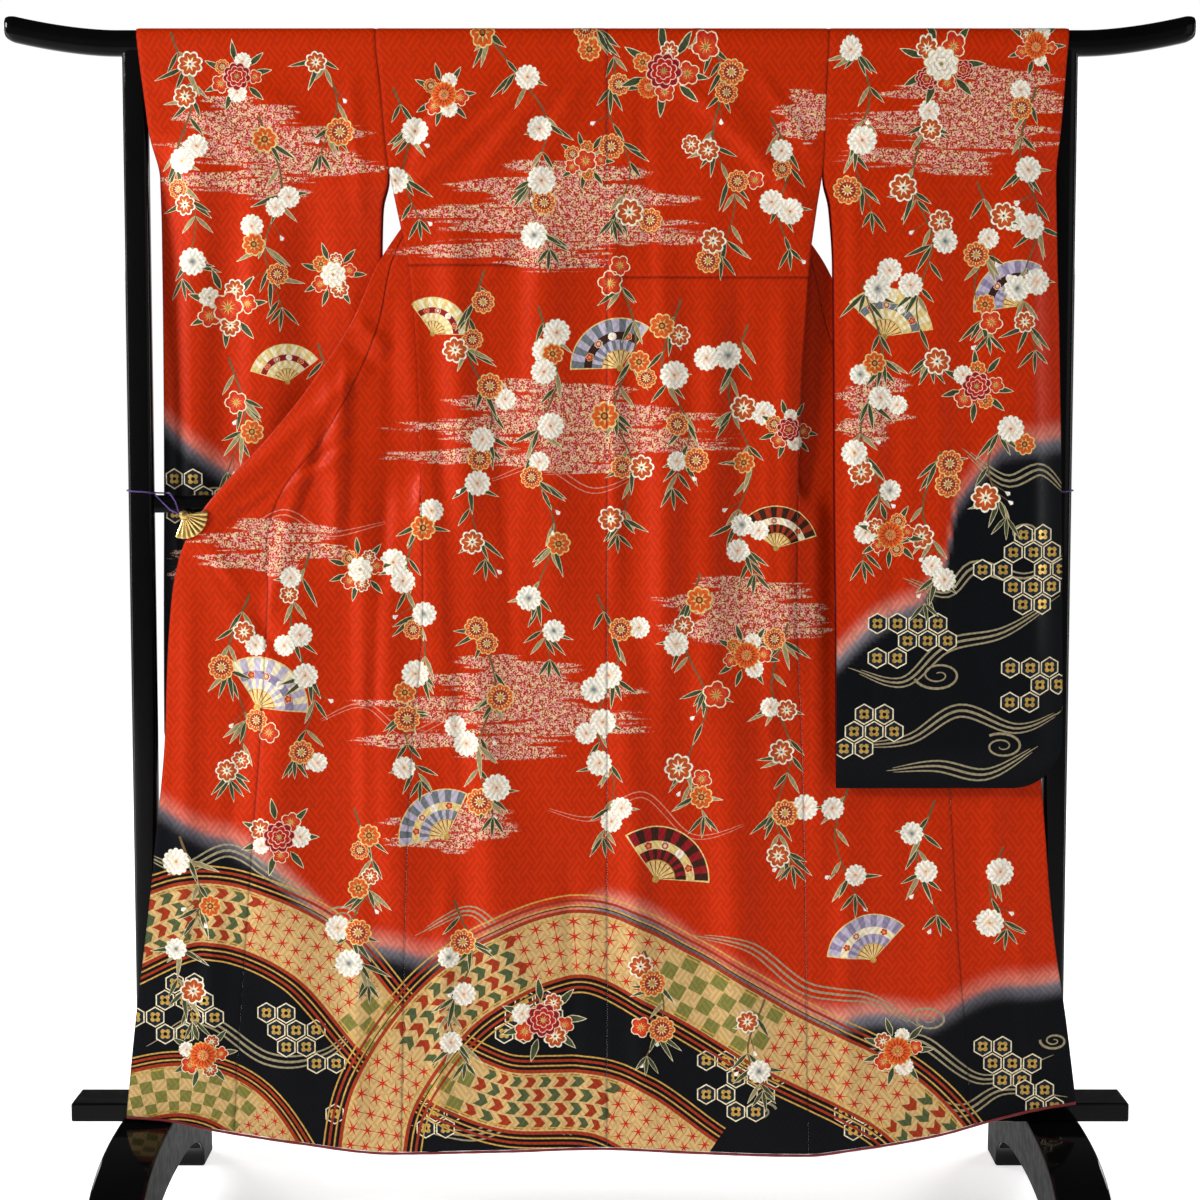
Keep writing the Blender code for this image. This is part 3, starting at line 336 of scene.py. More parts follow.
def run_place(side, run, level):
    z, over, on_rail = over_rail(level)
    cut = cut_front(z) + cut_overlap(z)
    seam = front_start(side, z)
    reach = front_edge[side](z) - seam
    flat = flatness(z)
    inward = (cut - math.pi * TURN_RADIUS - reach) / 2
    turn = np.clip((run - inward) / TURN_RADIUS, 0.0, math.pi)
    straight = run - inward - math.pi * TURN_RADIUS
    folded = np.where(run < inward, -run, -inward - TURN_RADIUS * np.sin(turn) + np.clip(straight, 0.0, None))
    lift = TURN_RADIUS * (1 - np.cos(turn))
    out = seam + mix(folded, reach * run / cut, flat)
    behind, back = behind_of(z), back_of(z)
    joined = back + (CLOTH + GAP) * (1 - smooth((flat - 0.55) / 0.40))
    start = mix(joined, behind, smooth((z - ARMHOLE_END) / 0.060))
    one_layer = np.where(z > SINGLE_ABOVE, behind, mix(start, open_of[side](z), smooth(run / 0.060)))
    folded_depth = mix(start, behind, smooth(run / 0.020)) + lift
    beyond = np.where(straight >= 0, smooth((out - seam) / 0.060), 0.0)
    depth = mix(mix(folded_depth, open_of[side](z), beyond), one_layer, flat)
    x = side * out
    return x, np.where(on_rail, over, depth - fold_depth("body", x, z)), to_hem(x, z)


def front_place(side, share, level):
    return run_place(side, share * (cut_front(over_rail(level)[0]) - GAP / 2), level)


def overlap_place(side, share, level):
    return run_place(side, cut_front(level) + GAP / 2 + share * (cut_overlap(level) - GAP / 2), level)


def sleeve_foot(inner, outer, out):
    past = np.clip((out - (outer - SLEEVE_ROUND)) / SLEEVE_ROUND, 0.0, 1.0)
    return SLEEVE_END + SLEEVE_ROUND * (1 - np.sqrt(1 - past ** 2))


def sleeve_sides(side, near, z):
    """Inner and outer edge of a sleeve's wall at a height."""
    inner = mix(side_edge[side](z) + GAP / 2, sleeve_of[side]["inner"](z), smooth((SLEEVE_JOIN - z) / 0.060))
    outer = sleeve_of[side]["outer"](z)
    if not near:
        outer = np.where(z > CUFF_END, mix(CUFF_FRONT, outer, smooth((z - 1.600) / 0.040)), outer)
    return inner, outer


def sleeve_place(side, near, share, level):
    piece, towards = "sleeve_left" if side == LEFT else "sleeve_right", -1 if near else 1
    high, over, on_rail = over_rail(level)
    inner, outer = sleeve_sides(side, near, high)
    out = mix(inner, outer, share)
    foot = sleeve_foot(inner, outer, out)
    z = np.where(high < SLEEVE_LOW, mix(SLEEVE_LOW, foot, (SLEEVE_LOW - high) / (SLEEVE_LOW - SLEEVE_END)), high)
    x = side * out
    own = sleeve_of[side]["near" if near else "far"](z)
    joined = (back_of if near else behind_of)(z)
    depth = mix(own, joined, smooth((z - 1.440) / 0.060) * (1 - smooth((out - inner) / 0.080)))
    seam = sleeve_of[side]["seam"](z) + towards * (CLOTH + GAP) / 2
    beside = (1 - smooth((outer - out) / 0.045)) * (1 - smooth((z - CUFF_END) / 0.070))
    below = 1 - smooth((z - np.where(z > SLEEVE_LOW, SLEEVE_END, foot)) / 0.060)
    held = np.maximum(beside, below)
    depth = mix(depth, seam, held) - fold_depth(piece, x, z) * (1 - held)
    return x, np.where(on_rail, towards * over, depth), z


def outer_layer(side, out, z):
    seam = side_edge[side](z)
    turned = behind_of(z) + 2 * TURN_RADIUS * (1 - flatness(z))
    return mix(turned, open_of[side](z), smooth((out - seam) / 0.060))


MITRE_SLOPE = float(front_edge[LEFT](1.600) - front_edge[LEFT](NECK_DROP)) / (NECK_DROP - 1.600)
MITRE = (-COLLAR_WIDE * math.tan(math.pi / 4 - math.atan(MITRE_SLOPE) / 2), -COLLAR_WIDE)


def collar_place(side, share, level):
    edge = front_edge[side]
    slope = (edge(level - 0.01) - edge(level + 0.01)) / 0.02
    length = np.hypot(1.0, slope)
    blend = smooth(np.interp(-level, [-1.660, -1.635, -1.610, -1.580, -1.545], [0.0, 0.25, 0.5, 0.75, 1.0]))
    aside = mix(MITRE[0], -COLLAR_WIDE / length, blend)
    down = mix(MITRE[1], -COLLAR_WIDE * slope / length, blend)
    out = edge(level) + aside * share + GAP / 2 * (level >= NECK_DROP)
    z = level + down * share
    return side * out, outer_layer(side, out, z) + COLLAR_LAY, z


def neck_place(share, level):
    deep = OVER_RAIL_DEEP + COLLAR_LAY
    z, over, on_rail = over_rail(level, deep)
    half = NECK_HALF - GAP + MITRE[0] * np.clip(NECK_DROP - z, 0.0, None) / COLLAR_WIDE
    return mix(-half, half, share), np.where(on_rail, over, deep), z


print("surfaces of back, front, overlap, sleeve and collar panels are ready")

# %% [markdown]
# ## Dyes and painted motifs
# The cloth is dyed and painted by hand in the yuzen way: each motif has a pale resist line round it, and
# its colour may run from one dye at the middle to another at the rim. A motif is a few flat outlines, the
# later ones over the earlier. They are later let into the mesh of the silk itself, so they have no
# thickness, and crisp edges at any distance.

# %% Dyes


def linear(code):
    """A hex colour as the linear values that shaders use."""
    parts = [int(code[i:i + 2], 16) / 255 for i in (0, 2, 4)]
    return np.array([c / 12.92 if c <= 0.04045 else ((c + 0.055) / 1.055) ** 2.4 for c in parts])


DYES = {name: linear(code) for name, code in (row.split() for row in """
    vermilion BE2A00; ink_navy 05070C; ink_navy_pale 18222E; haze DC9482; haze_cool 8A8790; ivory EFE7D2;
    ivory_shade DECFB2; blush EBB7A4; pale_blue C3CCD2; sage A9A58C; orange DD5A22; brown_orange A84A1C;
    crimson 8E1A20; dark_crimson 5A0F16; scarlet C2271B; ochre C79A4A; gold C9A24E; gold_pale E0C680;
    olive 7E7A3C; leaf_green 4E5836; leaf_dark 2A3524; leaf_edge B3A47A; leaf_pale 8B8058; leaf_tip A3976B;
    stem 6E5636; cream EBDDB8; lilac 8F83A0; lilac_pale B9AFC2; dark_brown 3A2016; tan CDAA70;
    tan_pale E6CC8E; rust 9C3418; slate 6F757A; white F3EFE4; water_gold 9A8E70; water_pink CE7C66;
    lining E9DFCB; mist_pink E6B0A4; mist_gold E2CBA0; deep_red 7C141B; purple 4B2A78""".split(";"))}

Shape = namedtuple("Shape", "points inside outside centre radius gold")
Bloom = namedtuple("Bloom", "form outer inner petals depth inside outside gold")
BLOOM_CHARTS = {
    "rosette": """
        petals 1 0 13 0.13 sage cream 0; petals 0.95 0 13 0.14 ivory white 0;
        star 0.88 0.3 13 0 sage sage 0; star 0.74 0.34 13 0 blush ivory 0; round 0.4 0 12 0 blush ivory 0;
        round 0.1 0 7 0 gold gold 1""",
    "rosette_blue": """
        petals 1 0 12 0.14 sage cream 0; petals 0.95 0 12 0.15 ivory white 0;
        star 0.88 0.3 12 0 slate sage 0; star 0.72 0.34 12 0 pale_blue ivory 0;
        round 0.42 0 12 0 slate ivory 0; star 0.22 0.06 6 0 slate slate 0""",
    "cherry": """
        petals 1 0 8 0.2 cream ivory 0; petals 0.86 0 8 0.24 orange brown_orange 0;
        star 0.6 0.22 8 0 ivory cream 0; round 0.24 0 10 0 white cream 0;
        star 0.16 0.06 6 0 dark_brown dark_brown 0""",
    "marigold": """
        petals 1 0 8 0.18 ochre gold_pale 0; petals 0.88 0 8 0.22 brown_orange orange 0;
        star 0.66 0.26 8 0 gold_pale ochre 0; round 0.28 0 10 0 dark_brown rust 0;
        round 0.14 0 8 0 gold gold 1""",
    "plum": """
        petals 1 0 5 0.26 gold_pale cream 0; petals 0.9 0 5 0.29 orange scarlet 0;
        star 0.5 0.12 10 0 gold_pale gold_pale 0; round 0.16 0 8 0 gold gold 1""",
    "lattice": """
        petals 1 0 10 0.15 ochre gold_pale 0; petals 0.9 0 10 0.17 rust orange 0;
        star 0.8 0.46 20 0 gold_pale gold_pale 0; round 0.56 0 14 0 rust rust 0;
        star 0.46 0.2 10 0 cream cream 0; round 0.22 0 9 0 ochre ochre 0""",
    "chrysanthemum": """
        petals 1 0 17 0.12 gold_pale gold 0; petals 0.92 0 17 0.14 orange orange 0;
        star 0.86 0.34 17 0 dark_crimson rust 0; petals 0.44 0 9 0.16 gold_pale orange 0;
        star 0.34 0.12 9 0 rust rust 0; round 0.12 0 8 0 gold gold 1""",
    "peony": """
        petals 1 0 9 0.17 cream blush 0; petals 0.93 0 9 0.19 dark_crimson crimson 0;
        petals 0.74 0 8 0.2 blush blush 0; petals 0.68 0 8 0.22 dark_crimson scarlet 0;
        petals 0.46 0 6 0.22 cream blush 0; petals 0.4 0 6 0.24 crimson scarlet 0;
        star 0.26 0.1 9 0 gold gold_pale 1""",
    "white_peony": """
        petals 1 0 9 0.17 gold gold 0; petals 0.95 0 9 0.19 ivory_shade white 0;
        petals 0.72 0 8 0.22 ochre gold_pale 0; petals 0.68 0 8 0.23 ivory_shade white 0;
        petals 0.42 0 6 0.24 ochre ochre 0; petals 0.38 0 6 0.25 ivory white 0;
        star 0.22 0.08 9 0 gold ochre 1""",
}
BLOOMS = {kind: [Bloom(form, *map(float, sizes[:2]), int(sizes[2]), float(sizes[3]), inside, outside, int(gold))
                 for form, *sizes, inside, outside, gold in (row.split() for row in text.split(";"))]
          for kind, text in BLOOM_CHARTS.items()}
print(len(DYES), "dyes,", len(BLOOMS), "kinds of blossom")

# %% [markdown]
# ## Motifs
# Blossoms, leaves, stems, buds, tortoiseshell hexagons, water lines, brocade ribbons and folding fans are
# all drawn here from their own proportions.

# %% Motifs


def outline(form, outer, inner, count, depth, turn):
    """Points of a scalloped rosette, a pointed star or a round, about its own middle."""
    if form == "star":
        angle = np.arange(count * 2) * math.pi / count + turn
        radius = np.where(np.arange(count * 2) % 2 == 0, inner, outer)
    elif form == "petals":
        steps = 4 if count < 12 else 3
        angle = np.arange(count * steps) * 2 * math.pi / (count * steps) + turn
        lobe = np.abs(np.sin(np.arange(count * steps) * math.pi / steps))
        radius = outer * (1 - depth * (1 - lobe ** 0.8))
    else:
        angle = np.arange(count) * 2 * math.pi / count + turn
        radius = np.full(count, outer)
    return np.stack([radius * np.cos(angle), radius * np.sin(angle)], axis=1)


def flat(points, dye, gold=0, outside=None, centre=None, radius=1.0):
    points = np.array(points, dtype=float)
    if centre is None:
        centre = points.mean(axis=0)
    return Shape(points, dye, outside or dye, np.array(centre, dtype=float), radius, gold)


def bloom(kind, x, z, radius, turn=0.0):
    """A blossom of one kind, with its resist line, petals, petal lines and centre."""
    result = []
    for layer in BLOOMS[kind]:
        points = outline(layer.form, layer.outer, layer.inner, layer.petals, layer.depth, turn) * radius + (x, z)
        result.append(flat(points, layer.inside, layer.gold, layer.outside, (x, z), radius * layer.outer))
    return result


def leaf(x, z, length, angle, width=0.0038, pale=False):
    """A lance-shaped leaf from its root, dark along its rib and paler towards the tip."""
    c, s = math.cos(angle), math.sin(angle)
    result = []
    blade = ("leaf_pale", "leaf_tip") if pale else ("leaf_dark", "leaf_green")
    for grow, dyes in ((1.0, ("leaf_edge", "cream")), (0.78, blade)):
        along = np.array([0.0, 0.14, 0.38, 0.66, 0.86, 1.0, 0.84, 0.62, 0.36, 0.14]) * length * (0.5 + grow / 2)
        side = np.array([0.0, 0.55, 1.0, 0.80, 0.42, 0.0, -0.42, -0.80, -1.0, -0.55]) * width * grow
        along = along + length * (1 - grow) * 0.24
        points = np.stack([x + c * along - s * side, z + s * along + c * side], axis=1)
        result.append(flat(points, dyes[0], 0, dyes[1], (x, z), length))
    return result


def bezier(points, count):
    """A smooth path through given points."""
    points = np.array(points, dtype=float)
    padded = np.concatenate([2 * points[:1] - points[1:2], points, 2 * points[-1:] - points[-2:-1]])
    t = np.linspace(0, len(points) - 1 - 1e-9, count)
    i = t.astype(int)
    f = (t - i)[:, None]
    a, b, c, d = padded[i], padded[i + 1], padded[i + 2], padded[i + 3]
    return 0.5 * (2 * b + (c - a) * f + (2 * a - 5 * b + 4 * c - d) * f ** 2 + (3 * b - a - 3 * c + d) * f ** 3)


def evenly(points, step, least=2, rough=80):
    """The smooth path with about one point a step, and its length."""
    length = float(np.sum(np.linalg.norm(np.diff(bezier(points, rough), axis=0), axis=1)))
    return bezier(points, max(int(length / step), least)), length


def sideways(path):
    """The direction across a path at each of its points."""
    along = unit(np.gradient(path, axis=0))
    return np.stack([-along[:, 1], along[:, 0]], axis=1)


def strip(path, widths, dye, gold=0, part=5):
    """A line of uneven width along a path, in short parts that can cross a seam."""
    path = np.asarray(path, dtype=float)
    across = sideways(path) * (np.broadcast_to(widths, len(path))[:, None] / 2)
    left, right = path + across, path - across
    return [flat(np.concatenate([left[k:k + part + 1], right[k:k + part + 1][::-1]]), dye, gold)
            for k in range(0, len(path) - 1, part)]


def bud(x, z, angle, size=0.009):
    """A teardrop bud on a thin stalk."""
    c, s = math.cos(angle), math.sin(angle)
    stalk = strip([(x + c * size * far, z + s * size * far) for far in (0, 1.3, 2.6)], 0.0012, "stem")
    turn = np.array([0.0, 0.35, 0.75, 1.0, 0.75, 0.35])
    side = np.array([0.0, 0.20, 0.36, 0.0, -0.36, -0.20])
    base = np.array([x, z]) + np.array([c, s]) * size * 2.4
    points = base + np.outer(turn * size, (c, s)) + np.outer(side * size, (-s, c))
    return stalk + [flat(points, "blush", 0, "white", (x, z), size * 3.2)]


def spray(points, kinds, rng, spacing=0.064, size=0.0180, buds=2):
    """A hanging spray: one stem, blossoms by turns to its two sides, fans of leaves, and buds."""
    path, length = evenly(points, 0.011, 6, 40)
    result = strip(path, np.linspace(0.0034, 0.0016, len(path)), "stem")
    for k in range(2, len(path) - 1, 4):
        for way in ((-1, 1) if rng.random() < 0.4 else (rng.choice((-1, 1)),)):
            angle = math.radians(-90 + way * rng.uniform(20, 46))
            result += leaf(*path[k], rng.uniform(0.027, 0.037), angle, 0.0033, rng.random() < 0.5)
    over = []
    count = max(int(length / spacing), 2)
    side = rng.choice((-1, 1))
    for k in range(count):
        at = min(int((k + rng.uniform(0.25, 0.75)) / count * len(path)), len(path) - 1)
        x, z = path[at]
        side = -side
        big = size * rng.uniform(0.86, 1.16)
        off = rng.uniform(0.30, 1.0) * big
        place = (x + side * off, z - rng.uniform(-0.3, 0.4) * big)
        for _ in range(rng.choice((2, 2, 3))):
            angle = math.radians(-90 + side * rng.uniform(-70, 95))
            result += leaf(x, z, rng.uniform(0.036, 0.050), angle, 0.0037, rng.random() < 0.25)
        if rng.random() < 0.75:
            angle = math.radians(-90 - side * rng.uniform(15, 70))
            result += leaf(x, z, rng.uniform(0.028, 0.038), angle, 0.0034)
        if rng.random() < 0.5:
            angle = rng.uniform(0, 6.28)
            beside = (place[0] + 1.5 * big * math.cos(angle), place[1] + 1.5 * big * math.sin(angle))
            over += bloom(rng.choice(kinds), *beside, big * rng.uniform(0.8, 1.0), rng.uniform(0, 6.28))
        over += bloom(rng.choice(kinds), *place, big, rng.uniform(0, 6.28))
    for _ in range(buds):
        at = rng.randrange(len(path) // 3, len(path))
        result += bud(*path[at], math.radians(-90 + rng.uniform(-65, 65)))
    x, z = path[-1]
    for angle in (-125, -88, -52):
        result += leaf(x, z, rng.uniform(0.026, 0.036), math.radians(angle + rng.uniform(-9, 9)), 0.0031)
    return result + over


def posy(x, z, size, kinds, rng, leaves=7):
    """A cluster: leaves set round it, large blossoms in the middle, small ones between."""
    result = []
    for k in range(leaves):
        angle = 2 * math.pi * (k + rng.uniform(-0.2, 0.2)) / leaves
        result += leaf(x + 0.45 * size * math.cos(angle), z + 0.45 * size * math.sin(angle), size * 0.58, angle,
                       size * 0.095)
    for k in range(5):
        angle = 2 * math.pi * k / 5 + rng.uniform(-0.3, 0.3)
        result += bloom(kinds[1 + k % (len(kinds) - 1)], x + 0.52 * size * math.cos(angle),
                        z + 0.46 * size * math.sin(angle), size * rng.uniform(0.22, 0.30), rng.uniform(0, 6.28))
    return result + bloom(kinds[0], x, z, size * 0.42, rng.uniform(0, 6.28))


CELL_LAYERS = (("round", 1, 6, 0, math.pi / 2, "cream", 0), ("round", 0.87, 6, 0, math.pi / 2, "ink_navy_pale", 0),
               ("petals", 0.56, 4, 0.42, 0.0, "gold", 1), ("round", 0.20, 6, 0, 0.0, "ink_navy", 0))


def hexagons(x, z, rows, radius=0.0150):
    """Tortoiseshell cells, one for each mark in the rows of a small chart, a gold blossom in each."""
    result = []
    for j, row in enumerate(rows):
        for i, mark in enumerate(row):
            if mark == "o":
                cx = x + (i + 0.5 * (j % 2)) * radius * 1.86
                cz = z - j * radius * 1.61
                for form, size, count, depth, turn, dye, gold in CELL_LAYERS:
                    points = outline(form, radius * size, 0, count, depth, turn) + (cx, cz)
                    result.append(flat(points, dye, gold))
    return result


def water(points, dye=("water_gold", 0), lines=3, gap=0.0085, wide=0.0028):
    """Water lines that run side by side, swelling and thinning, the middle one the longest."""
    result = []
    whole, _ = evenly(points, 0.009, 8, 60)
    for k in range(lines):
        shift = (k - (lines - 1) / 2) * gap
        trim = int(len(whole) * 0.07 * abs(shift) / gap)
        path = whole[trim:len(whole) - trim]
        swell = np.sin(np.linspace(0, math.pi, len(path)))
        path = path + sideways(path) * (shift * (0.35 + 0.65 * swell))[:, None]
        result += strip(path, 0.0007 + wide * swell ** 0.6 * (1.0 if k % 2 else 0.72), *dye)
    return result


def curl(x, z, radius, turn, way=1, dye=("water_gold", 0)):
    """A water line that rolls up on itself."""
    angle = np.linspace(0, 3.6 * math.pi, 44)
    r = radius * (1 - angle / (4.1 * math.pi))
    points = np.stack([x + r * np.cos(turn + way * angle), z + r * np.sin(turn + way * angle) * 0.62], axis=1)
    return strip(points, np.linspace(0.0036, 0.0014, 44), *dye)


def ribbon(points, half, fills):
    """A brocade ribbon: a tan ground with a woven fill that changes along it, and four edge lines."""
    path, _ = evenly(points, 0.012)
    across = sideways(path)
    run = np.concatenate([[0.0], np.cumsum(np.linalg.norm(np.gradient(path, axis=0), axis=1)[1:])])

    def at(s, w):
        """Points at runs s along the ribbon and w across it."""
        s, w = np.asarray(s, float), np.asarray(w, float)
        spot = np.stack([np.interp(s, run, path[:, k]) for k in (0, 1)], axis=-1)
        aside = np.stack([np.interp(s, run, across[:, k]) for k in (0, 1)], axis=-1)
        return spot + aside * w[..., None]

    result = strip(path, half * 2.10, "dark_brown", 0, 2) + strip(path, half * 2.02, "tan", 0, 2)
    cell = half * 0.50
    for k in range(int(run[-1] / cell)):
        fill = fills[int(k * cell / 0.20) % len(fills)]
        for m in (-1.5, -0.5, 0.5, 1.5):
            s0, w0 = (k + 0.5) * cell, m * cell * 0.92
            if fill == "hemp":
                star = outline("star", cell * 0.56, cell * 0.10, 6, 0, 0.0) + (s0, w0)
                result.append(flat(at(star[:, 0], star[:, 1]), "scarlet"))
            elif fill == "arrows":
                shape = [(-0.44, -0.40), (0.10, -0.40), (0.44, 0.0), (0.10, 0.40), (-0.44, 0.40), (-0.10, 0.0)]
                shape = np.array(shape) * (cell, cell) + (s0 + cell * 0.42 * (m % 2 - 0.5), w0)
                result.append(flat(at(shape[:, 0], shape[:, 1]), "leaf_green" if (k + int(m + 1.5)) % 2 else "rust"))
            elif (k + int(m + 1.5)) % 2:
                shape = np.array([(-0.5, -0.5), (0.5, -0.5), (0.5, 0.5), (-0.5, 0.5)]) * cell * 0.92 + (s0, w0)
                result.append(flat(at(shape[:, 0], shape[:, 1]), "olive"))
    for offset, wide, dye in ((0.84, 0.0022, "gold"), (1.0, 0.0050, "rust"), (1.16, 0.0034, "dark_brown"),
                              (1.18, 0.0022, "ochre"), (1.34, 0.0036, "rust"), (1.50, 0.0022, "ochre")):
        for way in (-1, 1):
            result += strip(at(run, np.full(len(run), half * offset * way)), wide, dye, int(dye == "gold"))
    return result


def folding_fan(x, z, radius, turn, leaf_dyes, band, rib="gold"):
    """An open fan: gold ribs at its pivot, a pleated leaf in two dyes, and a band with small blossoms."""
    result = []
    first, last = turn - 62, turn + 62
    pleats = 14

    def arc(inner, outer, start, end, steps):
        angle = np.radians(np.linspace(start, end, steps))
        ring = np.stack([np.cos(angle), np.sin(angle)], axis=1)
        return np.concatenate([ring * outer, ring[::-1] * inner]) + (x, z)

    result.append(flat(arc(radius * 0.06, radius * 1.025, first - 2, last + 2, 34), "gold_pale"))
    for k in range(pleats):
        start, end = mix(first, last, k / pleats), mix(first, last, (k + 1) / pleats)
        result.append(flat(arc(radius * 0.36, radius, start, end, 3), leaf_dyes[k % 2]))
        if k % 2 == 0:
            result.append(flat(arc(radius * 0.08, radius * 0.36, start + 2.2, end - 2.2, 3), "rust"))
    result.append(flat(arc(radius * 0.58, radius * 0.74, first, last, 26), band))
    result.append(flat(arc(radius * 0.355, radius * 0.375, first, last, 26), rib, 1))
    for k, kind in enumerate(("plum", "rosette", "cherry", "plum")):
        angle = math.radians(mix(first, last, (k + 0.7) / 4.4))
        at = (x + 0.66 * radius * math.cos(angle), z + 0.66 * radius * math.sin(angle))
        result += bloom(kind, *at, radius * 0.088)
    return result + [flat(outline("round", radius * 0.07, 0, 10, 0, 0) + (x, z), "gold", 1)]


print("motif drawing is ready")

# %% [markdown]
# ## The picture laid out
# The print runs across the seams, as on a garment painted after a first basting. Its own arrangement:
# hanging sprays from the shoulders down, clusters, a few open fans, three brocade ribbons crossing the
# dark hem, and between them tortoiseshell cells and water lines. A chart in quotes holds millimetres,
# across and then up, and its rows end in semicolons. Numbers outside charts are metres.

# %% Layout of the print
rng = random.Random(41)
MIXED = ("rosette", "rosette", "rosette_blue", "cherry", "marigold", "lattice", "rosette")
WARM = ("cherry", "marigold", "rosette", "lattice", "plum")


def paths(text):
    """Each row of a chart as the points of a path."""
    return [list(zip(row[::2], row[1::2])) for row in number_rows(text)]


def mixed(text):
    """Rows of millimetres that end in words, which come as a list."""
    rows = [row.split() for row in text.split(";")]
    counts = [sum(word.strip("-").isdigit() for word in row) for row in rows]
    return [(*map(metres, row[:count]), row[count:]) for row, count in zip(rows, counts)]


SPRAYS = {
    "body": paths("""
        -285 1600 -262 1540 -272 1480 -250 1420; -165 1685 -120 1625 -72 1550 -98 1455 -70 1380;
        -20 1690 20 1640 12 1570 42 1490 18 1420; 130 1690 170 1620 156 1530 186 1450 168 1370;
        235 1560 262 1500 246 1430 262 1380; -160 1350 -186 1250 -150 1150 -182 1045 -160 950;
        -85 1300 -60 1200 -94 1095 -62 990 -88 900 -70 810; 22 1350 50 1255 20 1160 46 1075 24 985;
        112 1310 86 1215 124 1130 100 1050; 205 1275 178 1180 212 1085 190 1000 216 930;
        -4 900 26 810 -6 720 20 640 4 560; 140 930 116 840 150 750 122 660 146 590;
        -246 1020 -272 920 -244 820 -276 730 -252 640; -170 860 -146 770 -172 680 -150 590;
        -405 960 -432 860 -400 760 -428 670; -490 900 -522 810 -496 720 -520 640;
        262 860 240 770 268 680 246 590 270 520; 352 640 330 560 358 480; 470 610 446 530 474 450;
        566 545 548 485 572 430; -590 560 -562 470 -596 380 -572 300; -345 600 -318 510 -350 430 -326 350;
        -205 470 -180 390 -212 310 -190 240; 62 400 90 320 66 250; 232 330 208 260 230 200"""),
    "sleeve_left": paths("""
        -590 1670 -560 1590 -585 1500 -560 1420 -582 1340; -470 1560 -440 1470 -466 1380 -444 1300;
        -390 1650 -362 1580 -386 1510; -520 1230 -498 1150 -524 1070; -395 1250 -372 1160 -398 1080"""),
    "sleeve_right": paths("""
        345 1670 372 1590 350 1510 374 1430; 452 1560 430 1470 458 1390 436 1300 456 1220;
        600 1600 578 1510 606 1420 582 1330 600 1240; 520 1470 542 1400 516 1330 536 1260;
        362 1330 390 1230 360 1130 386 1040 364 950; 560 1150 536 1080 562 1010;
        470 1100 446 1020 470 950 450 890"""),
    "far_left": paths("""
        -560 1600 -530 1500 -560 1400 -532 1300; -430 1560 -402 1450 -432 1350 -406 1250 -430 1150;
        -350 1300 -372 1200 -348 1100; -530 1180 -505 1090 -532 1000"""),
    "far_right": paths("""
        560 1600 530 1500 560 1400 532 1300; 430 1560 402 1450 432 1350 406 1250 430 1150;
        350 1300 372 1200 348 1100; 540 1180 515 1090 542 1000"""),
    "far_shoulder": paths("""
        -220 1685 -200 1645 -225 1605; 225 1685 205 1645 230 1605"""),
}
# Across, up and size in millimetres, and the kinds of blossom, the largest first
POSIES = {
    "body": mixed("""
        88 1622 62 peony plum cherry marigold chrysanthemum;
        -215 1590 44 chrysanthemum plum rosette lattice; -20 1500 40 plum plum marigold lattice;
        262 1130 42 peony plum rosette lattice; -335 935 45 white_peony plum cherry lattice;
        205 815 46 chrysanthemum plum rosette marigold; -450 560 55 peony rosette plum cherry;
        -80 300 60 peony plum cherry rosette; 420 255 50 chrysanthemum plum rosette cherry;
        -560 250 48 chrysanthemum plum cherry rosette"""),
    "sleeve_left": mixed("""
        -500 1615 48 peony plum rosette lattice; -520 1300 56 plum plum cherry white_peony;
        -372 1345 46 white_peony plum cherry marigold"""),
    "sleeve_right": mixed("""
        470 1632 60 white_peony peony plum cherry; 600 1655 40 chrysanthemum plum rosette cherry;
        520 1190 50 peony plum marigold rosette; 402 985 46 chrysanthemum plum lattice cherry"""),
    "far_left": mixed("""
        -500 1560 55 peony plum cherry rosette; -480 960 52 white_peony plum cherry rosette"""),
    "far_right": mixed("""
        500 1560 55 peony plum cherry rosette; 480 960 52 white_peony plum cherry rosette"""),
    "far_shoulder": mixed("""
        -262 1640 36 plum rosette cherry; 160 1650 34 plum rosette cherry"""),
}
# Across, up and radius in metres, direction in degrees, the two dyes of the leaf, and the dye of its band
FANS = {
    "body": ((0.028, 1.215, 0.068, 118, ("lilac_pale", "slate"), "dark_brown"),
             (-0.232, 1.262, 0.050, 62, ("cream", "gold_pale"), "crimson"),
             (0.245, 0.965, 0.058, 80, ("dark_brown", "rust"), "cream"),
             (-0.480, 0.742, 0.070, 58, ("lilac_pale", "cream"), "lilac"),
             (-0.215, 0.560, 0.066, 128, ("slate", "lilac_pale"), "gold_pale"),
             (0.078, 0.500, 0.074, 60, ("dark_brown", "crimson"), "gold_pale"),
             (0.385, 0.385, 0.064, 112, ("lilac", "lilac_pale"), "cream")),
    "sleeve_left": ((-0.438, 1.196, 0.052, 100, ("cream", "gold_pale"), "crimson"),),
    "sleeve_right": ((0.392, 1.258, 0.066, 72, ("gold_pale", "cream"), "slate"),
                     (0.578, 1.300, 0.062, 124, ("lilac_pale", "lilac"), "dark_brown")),
    "far_left": ((-0.480, 1.205, 0.066, 76, ("lilac_pale", "cream"), "crimson"),),
    "far_right": ((0.480, 1.205, 0.066, 104, ("cream", "gold_pale"), "crimson"),),
    "far_shoulder": (),
}
